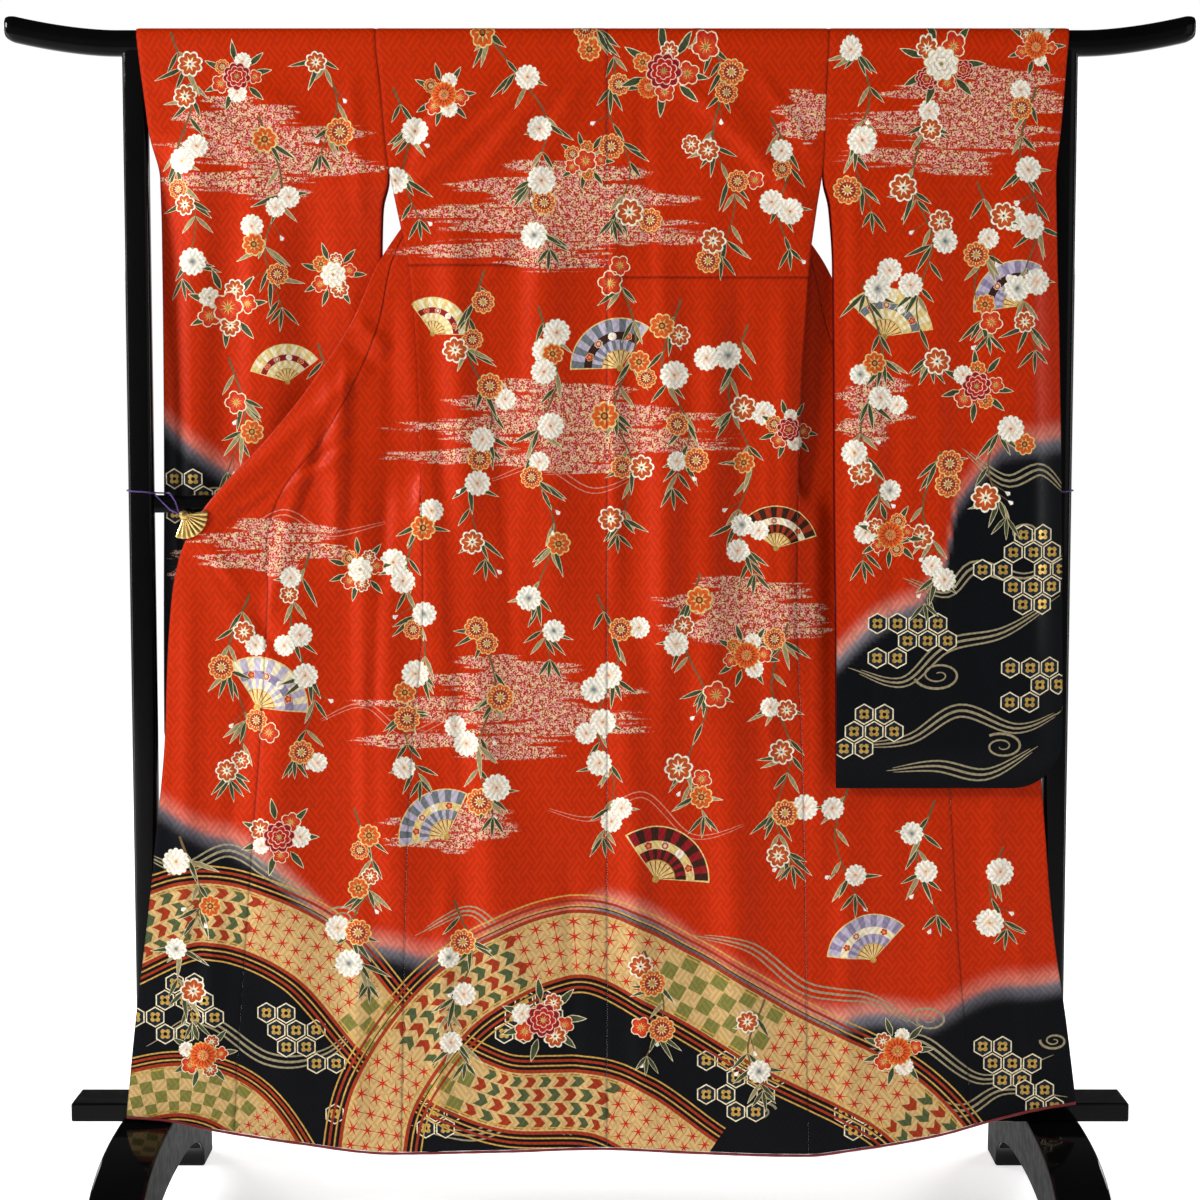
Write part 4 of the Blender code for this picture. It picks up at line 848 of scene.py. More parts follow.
RIBBONS = (
    (((-0.700, 0.400), (-0.560, 0.452), (-0.410, 0.400), (-0.290, 0.270), (-0.150, 0.190), (0.010, 0.175),
      (0.140, 0.090)), 0.044, ("arrows", "hemp", "check")),
    (((-0.330, 0.060), (-0.300, 0.200), (-0.190, 0.340), (-0.030, 0.408), (0.110, 0.352), (0.250, 0.270),
      (0.420, 0.180), (0.520, 0.070)), 0.046, ("hemp", "arrows", "hemp", "check")),
    (((-0.700, 0.180), (-0.590, 0.200), (-0.500, 0.165), (-0.430, 0.060)), 0.036, ("check", "hemp")))
CELLS = {
    "body": mixed("""
        -655 352 ..oo./.ooo./oo.oo/.oo..; -470 310 oo../ooo./.oo./..oo; -260 218 oo./ooo/.oo/oo.;
        -135 330 .oo./ooo./oo..; 150 242 ooo./.ooo/oo.o/.oo.; 330 190 .oo./ooo./.ooo;
        540 262 oo../ooo./.oo.; -375 165 oo./.oo; 20 165 .oo/oo.; 600 200 oo/oo"""),
    "sleeve_right": mixed("""
        530 985 ..oo./.oooo/oo.oo/.ooo./..oo.; 385 862 oooo/.ooo/oo..; 340 735 .oo/ooo/oo.;
        570 800 ooo/.oo/oo."""),
    "sleeve_left": mixed("""
        -600 1060 oo./.oo/oo.; -480 960 ooo/.oo"""),
    "far_left": mixed("""
        -600 900 oo.o/.ooo/oo..; -420 800 .oo/ooo; -560 745 oo/oo"""),
    "far_right": mixed("""
        500 900 oo.o/.ooo/oo..; 370 800 .oo/ooo; 540 745 oo/oo"""),
    "far_shoulder": (),
}
WATER = {
    "body": paths("""
        -660 545 -590 515 -520 540 -450 500 -390 470; -400 720 -330 745 -270 705 -200 730 -130 700;
        -640 262 -560 300 -470 245 -390 250 -330 300; -260 420 -180 455 -110 400 -30 440 50 430;
        -80 600 -10 585 60 620 130 560 210 580; 130 420 210 405 290 345 380 330 450 290;
        300 300 380 252 450 270 540 215 640 250; 350 155 430 190 510 170 570 200 660 190;
        -270 150 -180 135 -110 160 -40 135; -150 1060 -80 1080 -10 1045 60 1070;
        -300 1000 -380 985 -440 1015 -500 985"""),
    "sleeve_left": paths("""
        -610 1010 -540 1040 -470 1000 -400 1030; -600 930 -520 905 -450 940 -380 900;
        -610 800 -520 830 -440 780 -350 800"""),
    "sleeve_right": paths("""
        500 1105 560 1060 610 1075 650 1040; 345 800 420 780 480 830 560 850 640 900;
        350 690 430 700 500 740 580 715 650 740; 420 925 480 905 520 940 590 925 650 960;
        400 655 470 662 540 650 610 690"""),
    "far_left": paths("""
        -600 980 -540 940 -470 900 -400 890 -330 850; -600 720 -520 700 -440 730 -350 700"""),
    "far_right": paths("""
        620 980 550 940 480 900 410 890 340 850; 620 720 540 700 460 730 360 700"""),
    "far_shoulder": (),
}
CURLS = {"body": ((-0.365, 0.445, 0.026, 0.4, 1), (0.462, 0.300, 0.028, 2.6, -1), (-0.300, 0.310, 0.022, 1.0, -1),
                  (0.640, 0.270, 0.020, 3.0, 1), (0.225, 0.170, 0.024, 0.2, 1)),
         "sleeve_right": ((0.470, 0.790, 0.034, 3.4, 1), (0.590, 0.990, 0.026, 0.6, -1),
                          (0.560, 0.690, 0.030, 2.2, -1)),
         "sleeve_left": ((-0.560, 0.985, 0.024, 0.4, 1),),
         "far_left": ((-0.470, 0.760, 0.030, 0.4, 1),), "far_right": ((0.470, 0.760, 0.030, 2.4, -1),),
         "far_shoulder": ()}

Place = namedtuple("Place", "across up")
# Height at which the ground turns to navy, across each area
NIGHT = {
    "body": chart(Place, """
        -700 640; -619 610; -521 560; -423 472; -339 400; -254 398; -169 425; 0 455; 113 420; 226 350;
        340 305; 467 300; 566 340; 643 368; 700 380"""),
    "sleeve_right": chart(Place, """
        320 817; 376 855; 445 890; 479 945; 492 1025; 553 1095; 632 1130; 660 1135"""),
    "sleeve_left": chart(Place, """
        -640 1160; -616 1150; -562 1110; -506 1060; -420 1000; -300 960"""),
    "far_left": chart(Place, """
        -650 1060; -560 1030; -470 960; -380 930; -300 880"""),
    "far_right": chart(Place, """
        300 880; 380 930; 470 960; 560 1030; 650 1060"""),
    "far_shoulder": chart(Place, """
        -700 0; 700 0"""),
}
PRINT = {}
for area in SPRAYS:
    shapes = []
    for points in WATER[area]:
        on_red = min(z for _, z in points) > np.interp(points[2][0], *np.array(NIGHT[area]).T)
        shapes += water(points, ("water_pink", 0), 2, 0.0080, 0.0012) if on_red else water(points)
    for place in CURLS[area]:
        shapes += curl(*place)
    for x, z, marks in CELLS[area]:
        shapes += hexagons(x, z, marks[0].split("/"))
    if area == "body":
        for points, half, fills in RIBBONS:
            shapes += ribbon(points, half, fills)
    for x, z, radius, turn, dyes, band in FANS[area]:
        shapes += folding_fan(x, z, radius, turn, dyes, band)
    for k, points in enumerate(SPRAYS[area]):
        shapes += spray(points, WARM if k % 4 == 3 else MIXED, rng)
    for x, z, size, kinds in POSIES[area]:
        shapes += posy(x, z, size, kinds, rng)
    PRINT[area] = shapes
    print(area, len(shapes), "painted shapes,", sum(len(shape.points) for shape in shapes), "points")

# %% [markdown]
# ## The dyed ground
# The ground is dyed before it is painted: vermilion above, blended into ink navy at the foot of the body
# and of the sleeves, with a breath of pale haze along the blend. Bands of mist are dusted across it.

# %% Ground dye and mist
# The seven streaks of a band, from its foot up: the middle of each across the band, and half its width
STREAKS = ((0.42, 0.26), (0.66, 0.36), (0.36, 0.46), (0.56, 0.50), (0.70, 0.38), (0.34, 0.42), (0.52, 0.22))
# Two opposite corners of each band, in millimetres
Band = namedtuple("Band", "x0 z0 x1 z1")
MIST = {
    "body": chart(Band, """
        -285 1452 145 1372; -200 1480 80 1432; 240 1575 330 1545; -290 1152 185 1090; -210 1178 60 1140;
        80 905 315 852; 130 880 320 842; -338 770 70 690; -250 795 -20 750; -565 985 -350 950;
        -300 590 -120 560"""),
    "sleeve_left": chart(Band, """
        -615 1540 -300 1470; -590 1570 -410 1520; -610 960 -480 930"""),
    "sleeve_right": chart(Band, """
        320 1580 640 1500; 420 1610 645 1560; 325 1195 430 1130"""),
    "far_left": chart(Band, """
        -600 1480 -330 1420; -560 1130 -340 1080"""),
    "far_right": chart(Band, """
        330 1480 600 1420; 340 1130 560 1080"""),
    "far_shoulder": (),
}


def ground(area, x, z):
    """Dye of the bare cloth at each place, and how thickly mist is dusted on it."""
    blend = np.array(NIGHT[area])
    line = np.interp(x, blend[:, 0], blend[:, 1])
    line = line + 0.010 * np.sin(14 * x + 1.0) + 0.006 * np.sin(37 * x)
    night = (line - z) / 0.060 + 0.5
    breath = (0.62 + 0.20 * np.sin(17 * x + 2.0))[:, None]
    dye = mix(DYES["vermilion"], DYES["haze"], smooth(night / 0.48)[:, None] * breath)
    dye = mix(dye, mix(DYES["ink_navy"], DYES["haze_cool"], breath), smooth((night - 0.42) / 0.22)[:, None])
    dye = mix(dye, DYES["ink_navy"], smooth((night - 0.56) / 0.44)[:, None])
    mist = np.zeros_like(x)
    for x0, z0, x1, z1 in MIST[area]:
        for k, (at, wide) in enumerate(STREAKS):
            cx, cz = mix(x0, x1, at), mix(z0 + 0.012, z1 - 0.012, k / 6)
            half = (x1 - x0) * wide
            round_ = 1 - ((x - cx) / half) ** 2 - ((z - cz) / (0.011 + 0.003 * (k % 2))) ** 2
            mist = np.maximum(mist, smooth(round_ * 1.3))
    return dye, mist


print("ground dye ready for", len(NIGHT), "areas")

# %% [markdown]
# ## Laying silk over a panel
# A panel's mesh is made flat, in the panel's own widths and levels: an even net of points, with every
# painted outline let in as cuts of the net. Each small face then takes the topmost painted shape that it
# lies in, or the ground. Last the net is laid on its solid and given its thickness.

# %% Panels
Panel = namedtuple("Panel", "name side width low high step place facing area prints trim")
EDGE_COLUMNS, EDGE_ROOM = (0.0, 0.0018, 0.0040), 0.0075
TUCK_ROWS, TUCK_ROOM = (-0.0034, -0.0013, -0.0002, 0.0008, 0.0030), 0.0042
SEAM_CLOSE, SILK_THICK, SHARP_BEND, SLOPE_STEP, FACE_LIFT = 0.00014, 0.0012, 0.008, 0.0015, 0.0008
SEAM_SHADE, TUCK_SHADE, TUCK_SWELL = 0.55, 0.60, 0.0006
RED_LINING, SLEEVE_BORDER = 0.84, 0.030


def along_rail(level):
    """A level over the rail counts its rise alone, so the print is spread out there."""
    return np.where(level > OVER_START, OVER_START + (level - OVER_START) * RAIL_SPREAD, level)


def locate_back(side, x, z):
    level = from_hem(x, z)
    inner, outer = BACK_SEAM * side + GAP / 2, side_edge[side](np.minimum(level, TABLE_TOP)) - GAP / 2
    return (side * x - inner) / (outer - inner), along_rail(level)


def run_at(side, x, z):
    """How far along the cloth from the side seam a place seen on the opened front is."""
    out, level = side * x, from_hem(x, z)
    cut = cut_front(level) + cut_overlap(level)
    seam = front_start(side, level)
    reach = front_edge[side](level) - seam
    turned = 1 - flatness(level)
    run = (out - seam + turned * (cut - reach)) / np.maximum(turned + (1 - turned) * reach / cut, 0.05)
    hidden = (level > SPREAD_BELOW) | (level > SPREAD_ABOVE) & (out < seam - 0.100)
    return np.where(hidden, np.nan, run), level


def locate_front(side, x, z):
    run, level = run_at(side, x, z)
    return run / (cut_front(level) - GAP / 2), level


def locate_shoulder(side, x, z):
    """The same panel above the opening, where its printed face looks to the far side."""
    start = front_start(side, z)
    share = (side * x - start) / (front_edge[side](z) - start)
    return np.where(z > FOLD_FULL, share, np.nan), along_rail(z)


def locate_overlap(side, x, z):
    run, level = run_at(side, x, z)
    return (run - cut_front(level) - GAP / 2) / np.maximum(cut_overlap(level) - GAP / 2, 0.004), level


def locate_sleeve(side, near, x, z):
    inner, outer = sleeve_sides(side, near, np.minimum(z, TABLE_TOP))
    foot = sleeve_foot(inner, outer, side * x)
    low = SLEEVE_LOW - (SLEEVE_LOW - z) / (SLEEVE_LOW - foot) * (SLEEVE_LOW - SLEEVE_END)
    return (side * x - inner) / (outer - inner), np.where(z < SLEEVE_LOW, low, along_rail(z))


panels = []
for word, side in (("left", LEFT), ("right", RIGHT)):
    near, far = f"sleeve_{word}", f"far_{word}"
    panels += [
        Panel(f"back_{word}", side, 0.300, HEM_LEVEL, OVER_END, 0.0062, partial(back_place, side), side, "body",
              (("body", partial(locate_back, side)),), "body"),
        Panel(f"front_{word}", side, 0.226, HEM_LEVEL, OVER_END, 0.0062, partial(front_place, side), side, "body",
              (("body", partial(locate_front, side)), ("far_shoulder", partial(locate_shoulder, side))), "body"),
        Panel(f"overlap_{word}", side, 0.142, HEM_LEVEL, OVERLAP_TIP, 0.0062, partial(overlap_place, side), side,
              "body", (("body", partial(locate_overlap, side)),), "body"),
        Panel(f"collar_{word}", side, 0.058, COLLAR_END, NECK_DROP, 0.0085, partial(collar_place, side), side,
              "far_shoulder", (), "none"),
        Panel(f"sleeve_{word}_back", side, 0.325, SLEEVE_END, OVER_END, 0.0062, partial(sleeve_place, side, True),
              side, near, ((near, partial(locate_sleeve, side, True)),), "sleeve"),
        Panel(f"sleeve_{word}_front", side, 0.305, SLEEVE_END, OVER_END, 0.0080, partial(sleeve_place, side, False),
              -side, far, ((far, partial(locate_sleeve, side, False)),), "sleeve")]
panels.append(Panel("collar_neck", 1, 0.180, NECK_DROP - COLLAR_WIDE, OVER_END, 0.0085, neck_place, -1,
                    "far_shoulder", (), "none"))


def inside_shape(outline_points, points):
    """Which of the points lie within a closed outline."""
    a, b = outline_points, np.roll(outline_points, -1, axis=0)
    crosses = (a[:, 1][:, None] > points[:, 1]) != (b[:, 1][:, None] > points[:, 1])
    rise = np.where(b[:, 1] == a[:, 1], 1e-12, b[:, 1] - a[:, 1])[:, None]
    at = a[:, 0][:, None] + (points[:, 1] - a[:, 1][:, None]) / rise * (b[:, 0] - a[:, 0])[:, None]
    return (np.sum(crosses & (points[:, 0] < at), axis=0) % 2) == 1


def with_steps(shape, most=0.0065):
    """The outline with no edge longer than most, so that a long one follows the folds as well."""
    following = np.roll(shape, -1, axis=0)
    parts = np.ceil(np.linalg.norm(following - shape, axis=1) / most).clip(1).astype(int)
    if parts.max() == 1:
        return shape
    return np.concatenate([a + (b - a) * (np.arange(n) / n)[:, None] for a, b, n in zip(shape, following, parts)])


def triangles(points, edges, kind):
    """Delaunay triangles that keep the edges, and the given points that each corner stands for."""
    corners, _, faces, same, _, _ = delaunay_2d_cdt([Vector(p) for p in points], edges, [], kind, 1e-7, True)
    return corners, np.array([tuple(face) for face in faces if len(face) == 3]), same


def turning(corners, faces):
    """Twice the area of each flat face, negative where it turns to the right, and its middle."""
    a, b, c = (corners[faces[:, k]] for k in range(3))
    turn = (b[:, 0] - a[:, 0]) * (c[:, 1] - a[:, 1]) - (b[:, 1] - a[:, 1]) * (c[:, 0] - a[:, 0])
    return turn, (a + b + c) / 3


def net(panel, shapes):
    """The panel's flat mesh with the outlines let in, each face's topmost shape, and the plain net's points."""
    wide, low, high = panel.width, panel.low, panel.high
    edge = np.array(EDGE_COLUMNS)
    middle = np.linspace(EDGE_ROOM, wide - EDGE_ROOM, max(int((wide - 2 * EDGE_ROOM) / panel.step), 2) + 1)
    columns = np.concatenate([edge, middle, wide - edge[::-1]])
    rows = np.linspace(low, high, int((high - low) / panel.step) + 2)
    tuck = TUCK_LEFT if panel.side == LEFT else TUCK_RIGHT
    if panel.name.startswith("back"):
        rows = rows[np.abs(rows - tuck) > TUCK_ROOM]
        rows = np.sort(np.concatenate([rows, tuck + np.array(TUCK_ROWS)]))
    rim = [(c, low) for c in columns] + [(wide, r) for r in rows[1:]]
    rim += [(c, high) for c in columns[-2::-1]] + [(0.0, r) for r in rows[-2:0:-1]]
    points = list(rim)
    edges = [(i, (i + 1) % len(rim)) for i in range(len(rim))]
    points += [(c, r) for r in rows[1:-1] for c in columns[1:-1]]
    plain_count = len(points)
    for shape in shapes:
        ring = with_steps(shape)
        first, count = len(points), len(ring)
        points += ring.tolist()
        edges += [(first + i, first + (i + 1) % count) for i in range(count)]
    corners, faces, same = triangles(points, edges, 0)
    corners = np.array([tuple(corner) for corner in corners])
    plain = np.array([bool(given) and min(given) < plain_count for given in same])
    turn, middle = turning(corners, faces)
    if np.sum(turn) < 0:
        faces = faces[:, ::-1]
    # A sliver inside the panel is kept, because without it two faces would no longer share an edge
    across, up = middle.T
    from_border = np.minimum(np.minimum(across, wide - across), np.minimum(up - low, high - up))
    keep = (from_border > 0) & ((np.abs(turn) > 1e-12) | (from_border > 1e-6))
    faces, middle = faces[keep], middle[keep]
    topmost = np.full(len(faces), -1)
    order = np.argsort(middle[:, 1])
    heights = middle[order, 1]
    for index, shape in enumerate(shapes):
        lowest, highest = shape.min(axis=0), shape.max(axis=0)
        near = order[np.searchsorted(heights, lowest[1]):np.searchsorted(heights, highest[1])]
        near = near[(middle[near, 0] > lowest[0]) & (middle[near, 0] < highest[0])]
        if len(near):
            topmost[near[inside_shape(shape, middle[near])]] = index
    used, faces = np.unique(faces, return_inverse=True)
    return corners[used], faces.reshape(-1, 3), topmost, plain[used]


def double(outer, faces, flat_points, plain, facing):
    """The lining under the printed face, on the plain net, and a rim that joins the two."""
    a, b, c = (outer[faces[:, k]] for k in range(3))
    # Weighted by area, so that slivers beside the painted outlines leave no mark on the cloth
    weighted = np.cross(b - a, c - a)
    normal = np.zeros_like(outer)
    for k in range(3):
        np.add.at(normal, faces[:, k], weighted)
    normal = unit(normal)
    # Where the cloth turns sharply, the lining has all of the printed face's points
    upright = unit(weighted)
    bend = np.zeros(len(outer))
    for k in range(3):
        np.maximum.at(bend, faces[:, k], 1 - np.sum(upright * normal[faces[:, k]], axis=1))
    count = len(outer)
    start, end = faces.ravel(), np.roll(faces, -1, axis=1).ravel()
    single = ~np.isin(start * count + end, end * count + start)
    start, end = start[single], end[single]
    kept = plain | (bend > SHARP_BEND)
    kept[start] = True
    source = np.flatnonzero(kept)
    number = np.cumsum(kept) - 1
    border = np.stack([number[start], number[end]], axis=1).tolist()
    _, under, same = triangles(flat_points[source], border, 1)
    under = np.array([given[0] for given in same])[under]
    if np.sum(turning(flat_points[source], under)[0]) * facing > 0:
        under = under[:, ::-1]
    rim = np.stack([end, start, number[start] + count, number[end] + count], axis=1)
    points = np.concatenate([outer, (outer - normal * SILK_THICK)[source]])
    normals = np.concatenate([normal, -normal[source]])
    return points, under + count, rim, np.concatenate([np.arange(count), source]), normals


def put(name, data):
    """A new object in the scene."""
    made = bpy.data.objects.new(name, data)
    bpy.context.scene.collection.objects.link(made)
    return made


def lay(panel):
    """Makes a panel's silk: net, place on the solid, relief, dyes with painted shade along its seams and tuck, and
    thickness.
    """
    kept, outlines = [], []
    for area, locate in panel.prints:
        if not PRINT[area]:
            continue
        sizes = np.cumsum([len(shape.points) for shape in PRINT[area]])[:-1]
        every = np.concatenate([shape.points for shape in PRINT[area]])
        share, level = locate(every[:, 0], every[:, 1])
        places = np.split(np.stack([share * panel.width, level], axis=1), sizes)
        for shape, place in zip(PRINT[area], places):
            low, high = place.min(axis=0), place.max(axis=0)
            crosses = high[0] > 0 and low[0] < panel.width and high[1] > panel.low and low[1] < panel.high
            if crosses:
                kept.append(shape)
                outlines.append(place)
    flat_points, faces, topmost, plain = net(panel, outlines)
    # The sewn edges come together where the solids keep a gap
    level = flat_points[:, 1]
    share = mix(-SEAM_CLOSE, panel.width + SEAM_CLOSE, flat_points[:, 0] / panel.width) / panel.width
    middle = np.stack(panel.place(share, level), axis=1)
    along, up = (np.stack(panel.place(share + aside, level + rise), axis=1)
                 - np.stack(panel.place(share - aside, level - rise), axis=1)
                 for aside, rise in ((SLOPE_STEP / panel.width, 0), (0, SLOPE_STEP)))
    normal = unit(np.cross(along, up) * panel.facing)
    x, z = middle[:, 0], middle[:, 2]
    relief = ripple(x, z, 5 + len(panel.area)) * smooth((1.655 - z) / 0.05)
    # Painted shade: the colour is darkened along both sewn edges, where the groove of the seam is in shade
    shadow = np.ones_like(x)
    for edge, from_seam in enumerate((flat_points[:, 0], panel.width - flat_points[:, 0])):
        relief += seam_relief(from_seam, level, len(panel.name) + edge)
        shadow *= 1 - SEAM_SHADE * bell(from_seam, 0.0013)
    if panel.name.startswith("back"):
        tuck = TUCK_LEFT if panel.side == LEFT else TUCK_RIGHT
        relief -= TUCK_DEEP * bell(level - tuck, 0.0016)
        relief += TUCK_SWELL * bell(level - tuck - 0.006, 0.007)
        # Painted shade: the colour is darkened along the groove of the tuck
        shadow *= 1 - TUCK_SHADE * bell(level - tuck, 0.0014)
    outer = middle + normal * (FACE_LIFT + relief)[:, None]

    if panel.facing < 0:
        faces = faces[:, ::-1]
    points, under, rim, source, normals = double(outer, faces, flat_points, plain, panel.facing)
    mesh = bpy.data.meshes.new(panel.name + "_silk")
    mesh.from_pydata(points.tolist(), [], faces.tolist() + under.tolist() + rim.tolist())
    mesh.shade_smooth()
    mesh.normals_split_custom_set_from_vertices(normals.tolist())
    dye, mist = ground(panel.area, x, z)
    corners = faces.ravel()
    colour = dye[corners]
    slots = np.zeros(len(faces), dtype=int)
    if kept:
        shape_of = np.repeat(topmost, 3)
        painted = shape_of >= 0
        which = shape_of[painted]
        inner, outside, centre, radius = (np.array(values)[which] for values in zip(
            *((DYES[shape.inside], DYES[shape.outside], shape.centre, shape.radius) for shape in kept)))
        at = np.stack([x, z], axis=1)[corners[painted]]
        away = np.clip(np.linalg.norm(at - centre, axis=1) / radius, 0.0, 1.0)[:, None]
        colour[painted] = mix(inner, outside, away)
        gold = np.array([shape.gold for shape in kept])
        slots[topmost >= 0] = 1 + gold[topmost[topmost >= 0]]
    colour *= shadow[corners][:, None]
    colour = np.concatenate([colour, dye[source[under.ravel()]], dye[source[rim.ravel()]]])
    attribute = mesh.color_attributes.new("dye", "FLOAT_COLOR", "CORNER")
    attribute.data.foreach_set("color", np.concatenate([colour, np.ones((len(colour), 1))], axis=1).ravel())
    if panel.trim == "body":
        trim = smooth((RED_LINING - z) / 0.010)
    elif panel.trim == "sleeve":
        trim = 1 - smooth((np.minimum(share, 1 - share) * panel.width - SLEEVE_BORDER) / 0.003)
    else:
        trim = np.zeros(len(x))
    for name, values in (("mist", mist), ("trim", trim)):
        mesh.attributes.new(name, "FLOAT", "POINT").data.foreach_set("value", values[source])
    # Fronts and overlaps are tapered, so their figure is laid straight across
    across = x if panel.name.startswith(("front", "overlap")) else flat_points[:, 0]
    woven = np.stack([across, level, np.zeros(len(x))], axis=1)
    mesh.attributes.new("woven", "FLOAT_VECTOR", "POINT").data.foreach_set("vector", woven[source].ravel())
    slots = np.concatenate([slots, np.full(len(under), 3), np.zeros(len(rim), dtype=int)])
    mesh.polygons.foreach_set("material_index", slots)
    sides = np.empty(len(mesh.loops), dtype=np.int32)
    mesh.loops.foreach_get("edge_index", sides)
    print(panel.name, "edges not between two faces:", int(np.sum(np.bincount(sides) != 2)))
    return put(panel.name + "_silk", mesh)


print(len(panels), "panels to lay")

# %% [markdown]
# ## Materials
# Figured silk is woven with a key fret in satin on a dull ground, so the figure shows by its sheen more than by its
# colour. The same weave lies under every dye, and the figure's sheen is also painted into the colour as a darker
# tone.

# %% Materials


def feed(made, inputs):
    """Fills a node's inputs with values or links."""
    for key, value in inputs.items():
        if isinstance(value, bpy.types.NodeSocket):
            made.id_data.links.new(value, made.inputs[key])
        else:
            made.inputs[key].default_value = value


def node(tree, kind, inputs=None, **settings):
    """Adds one shader node with its settings and inputs, and returns its first output."""
    made = tree.nodes.new(kind)
    for key, value in settings.items():
        setattr(made, key, value)
    feed(made, inputs or {})
    return made.outputs[0]


def maths(tree, operation, *values):
    return node(tree, "ShaderNodeMath", dict(enumerate(values)), operation=operation)


def spread(tree, *values):
    """A value taken from one range to another, or else to 0 and 1."""
    return node(tree, "ShaderNodeMapRange", dict(enumerate(values)))


def noise(tree, place, scale, detail, **others):
    return node(tree, "ShaderNodeTexNoise", {"Vector": place, "Scale": scale, "Detail": detail, **others})


def blend(tree, share, first, second):
    return node(tree, "ShaderNodeMix", {0: share, 6: first, 7: second}, data_type="RGBA").node.outputs[2]


def reading(tree, attribute, output="Fac"):
    return node(tree, "ShaderNodeAttribute", attribute_name=attribute).node.outputs[output]


def object_place(tree):
    return node(tree, "ShaderNodeTexCoord").node.outputs["Object"]


def bump(tree, height, strength, distance):
    return node(tree, "ShaderNodeBump", {"Height": height, "Strength": strength, "Distance": distance})


def new_material(name):
    material = bpy.data.materials.new(name)
    material.use_nodes = True
    tree = material.node_tree
    return material, tree, tree.nodes["Principled BSDF"]


def dyed(name):
    return (*DYES[name], 1.0)


# One repeat of the woven key fret (sayagata), twelve steps by twelve, drawn as a chart
FRET = ("X.XXXXXXX.X.", "X.X.....X.X.", "XXXXX.XXXXX.", "..X.X.X.X...", "XXX.X.X.XXXX", "....X.X.....",
        "XXX.X.X.XXXX", "..X.X.X.X...", "XXXXX.XXXXX.", "X.X.....X.X.", "X.XXXXXXX.X.", "X.........X.")
FRET_STEPS, FRET_CELL, FRET_LEAN = 12, 0.0034, 36.0


def key_fret(tree, woven):
    """1 on the satin lines of the woven key fret, 0 on its dull ground."""
    lean = math.radians(FRET_LEAN)
    cells = []
    for way in (1, -1):
        step = (way * math.cos(lean) / FRET_CELL, math.sin(lean) / FRET_CELL, 0.0)
        along = node(tree, "ShaderNodeVectorMath", {0: woven, 1: step}, operation="DOT_PRODUCT").node.outputs["Value"]
        cells.append(maths(tree, "FLOORED_MODULO", maths(tree, "FLOOR", along), float(FRET_STEPS)))
    column, row = cells
    masks = node(tree, "ShaderNodeValToRGB", {0: maths(tree, "MULTIPLY_ADD", row, 1 / FRET_STEPS, 0.5 / FRET_STEPS)})
    ramp = masks.node.color_ramp
    ramp.interpolation = "CONSTANT"
    whole = 2 ** FRET_STEPS - 1
    for k in range(FRET_STEPS - 2):
        ramp.elements.new((k + 1) / FRET_STEPS)
    for k, line in enumerate(FRET):
        value = sum(2 ** i for i, mark in enumerate(line) if mark == "X") / whole
        ramp.elements[k].position = k / FRET_STEPS
        ramp.elements[k].color = (value, value, value, 1.0)
    marks = maths(tree, "ROUND", maths(tree, "MULTIPLY", masks, float(whole)))
    power = maths(tree, "ROUND", maths(tree, "POWER", 2.0, column))
    return maths(tree, "FLOORED_MODULO", maths(tree, "FLOOR", maths(tree, "DIVIDE", marks, power)), 2.0)


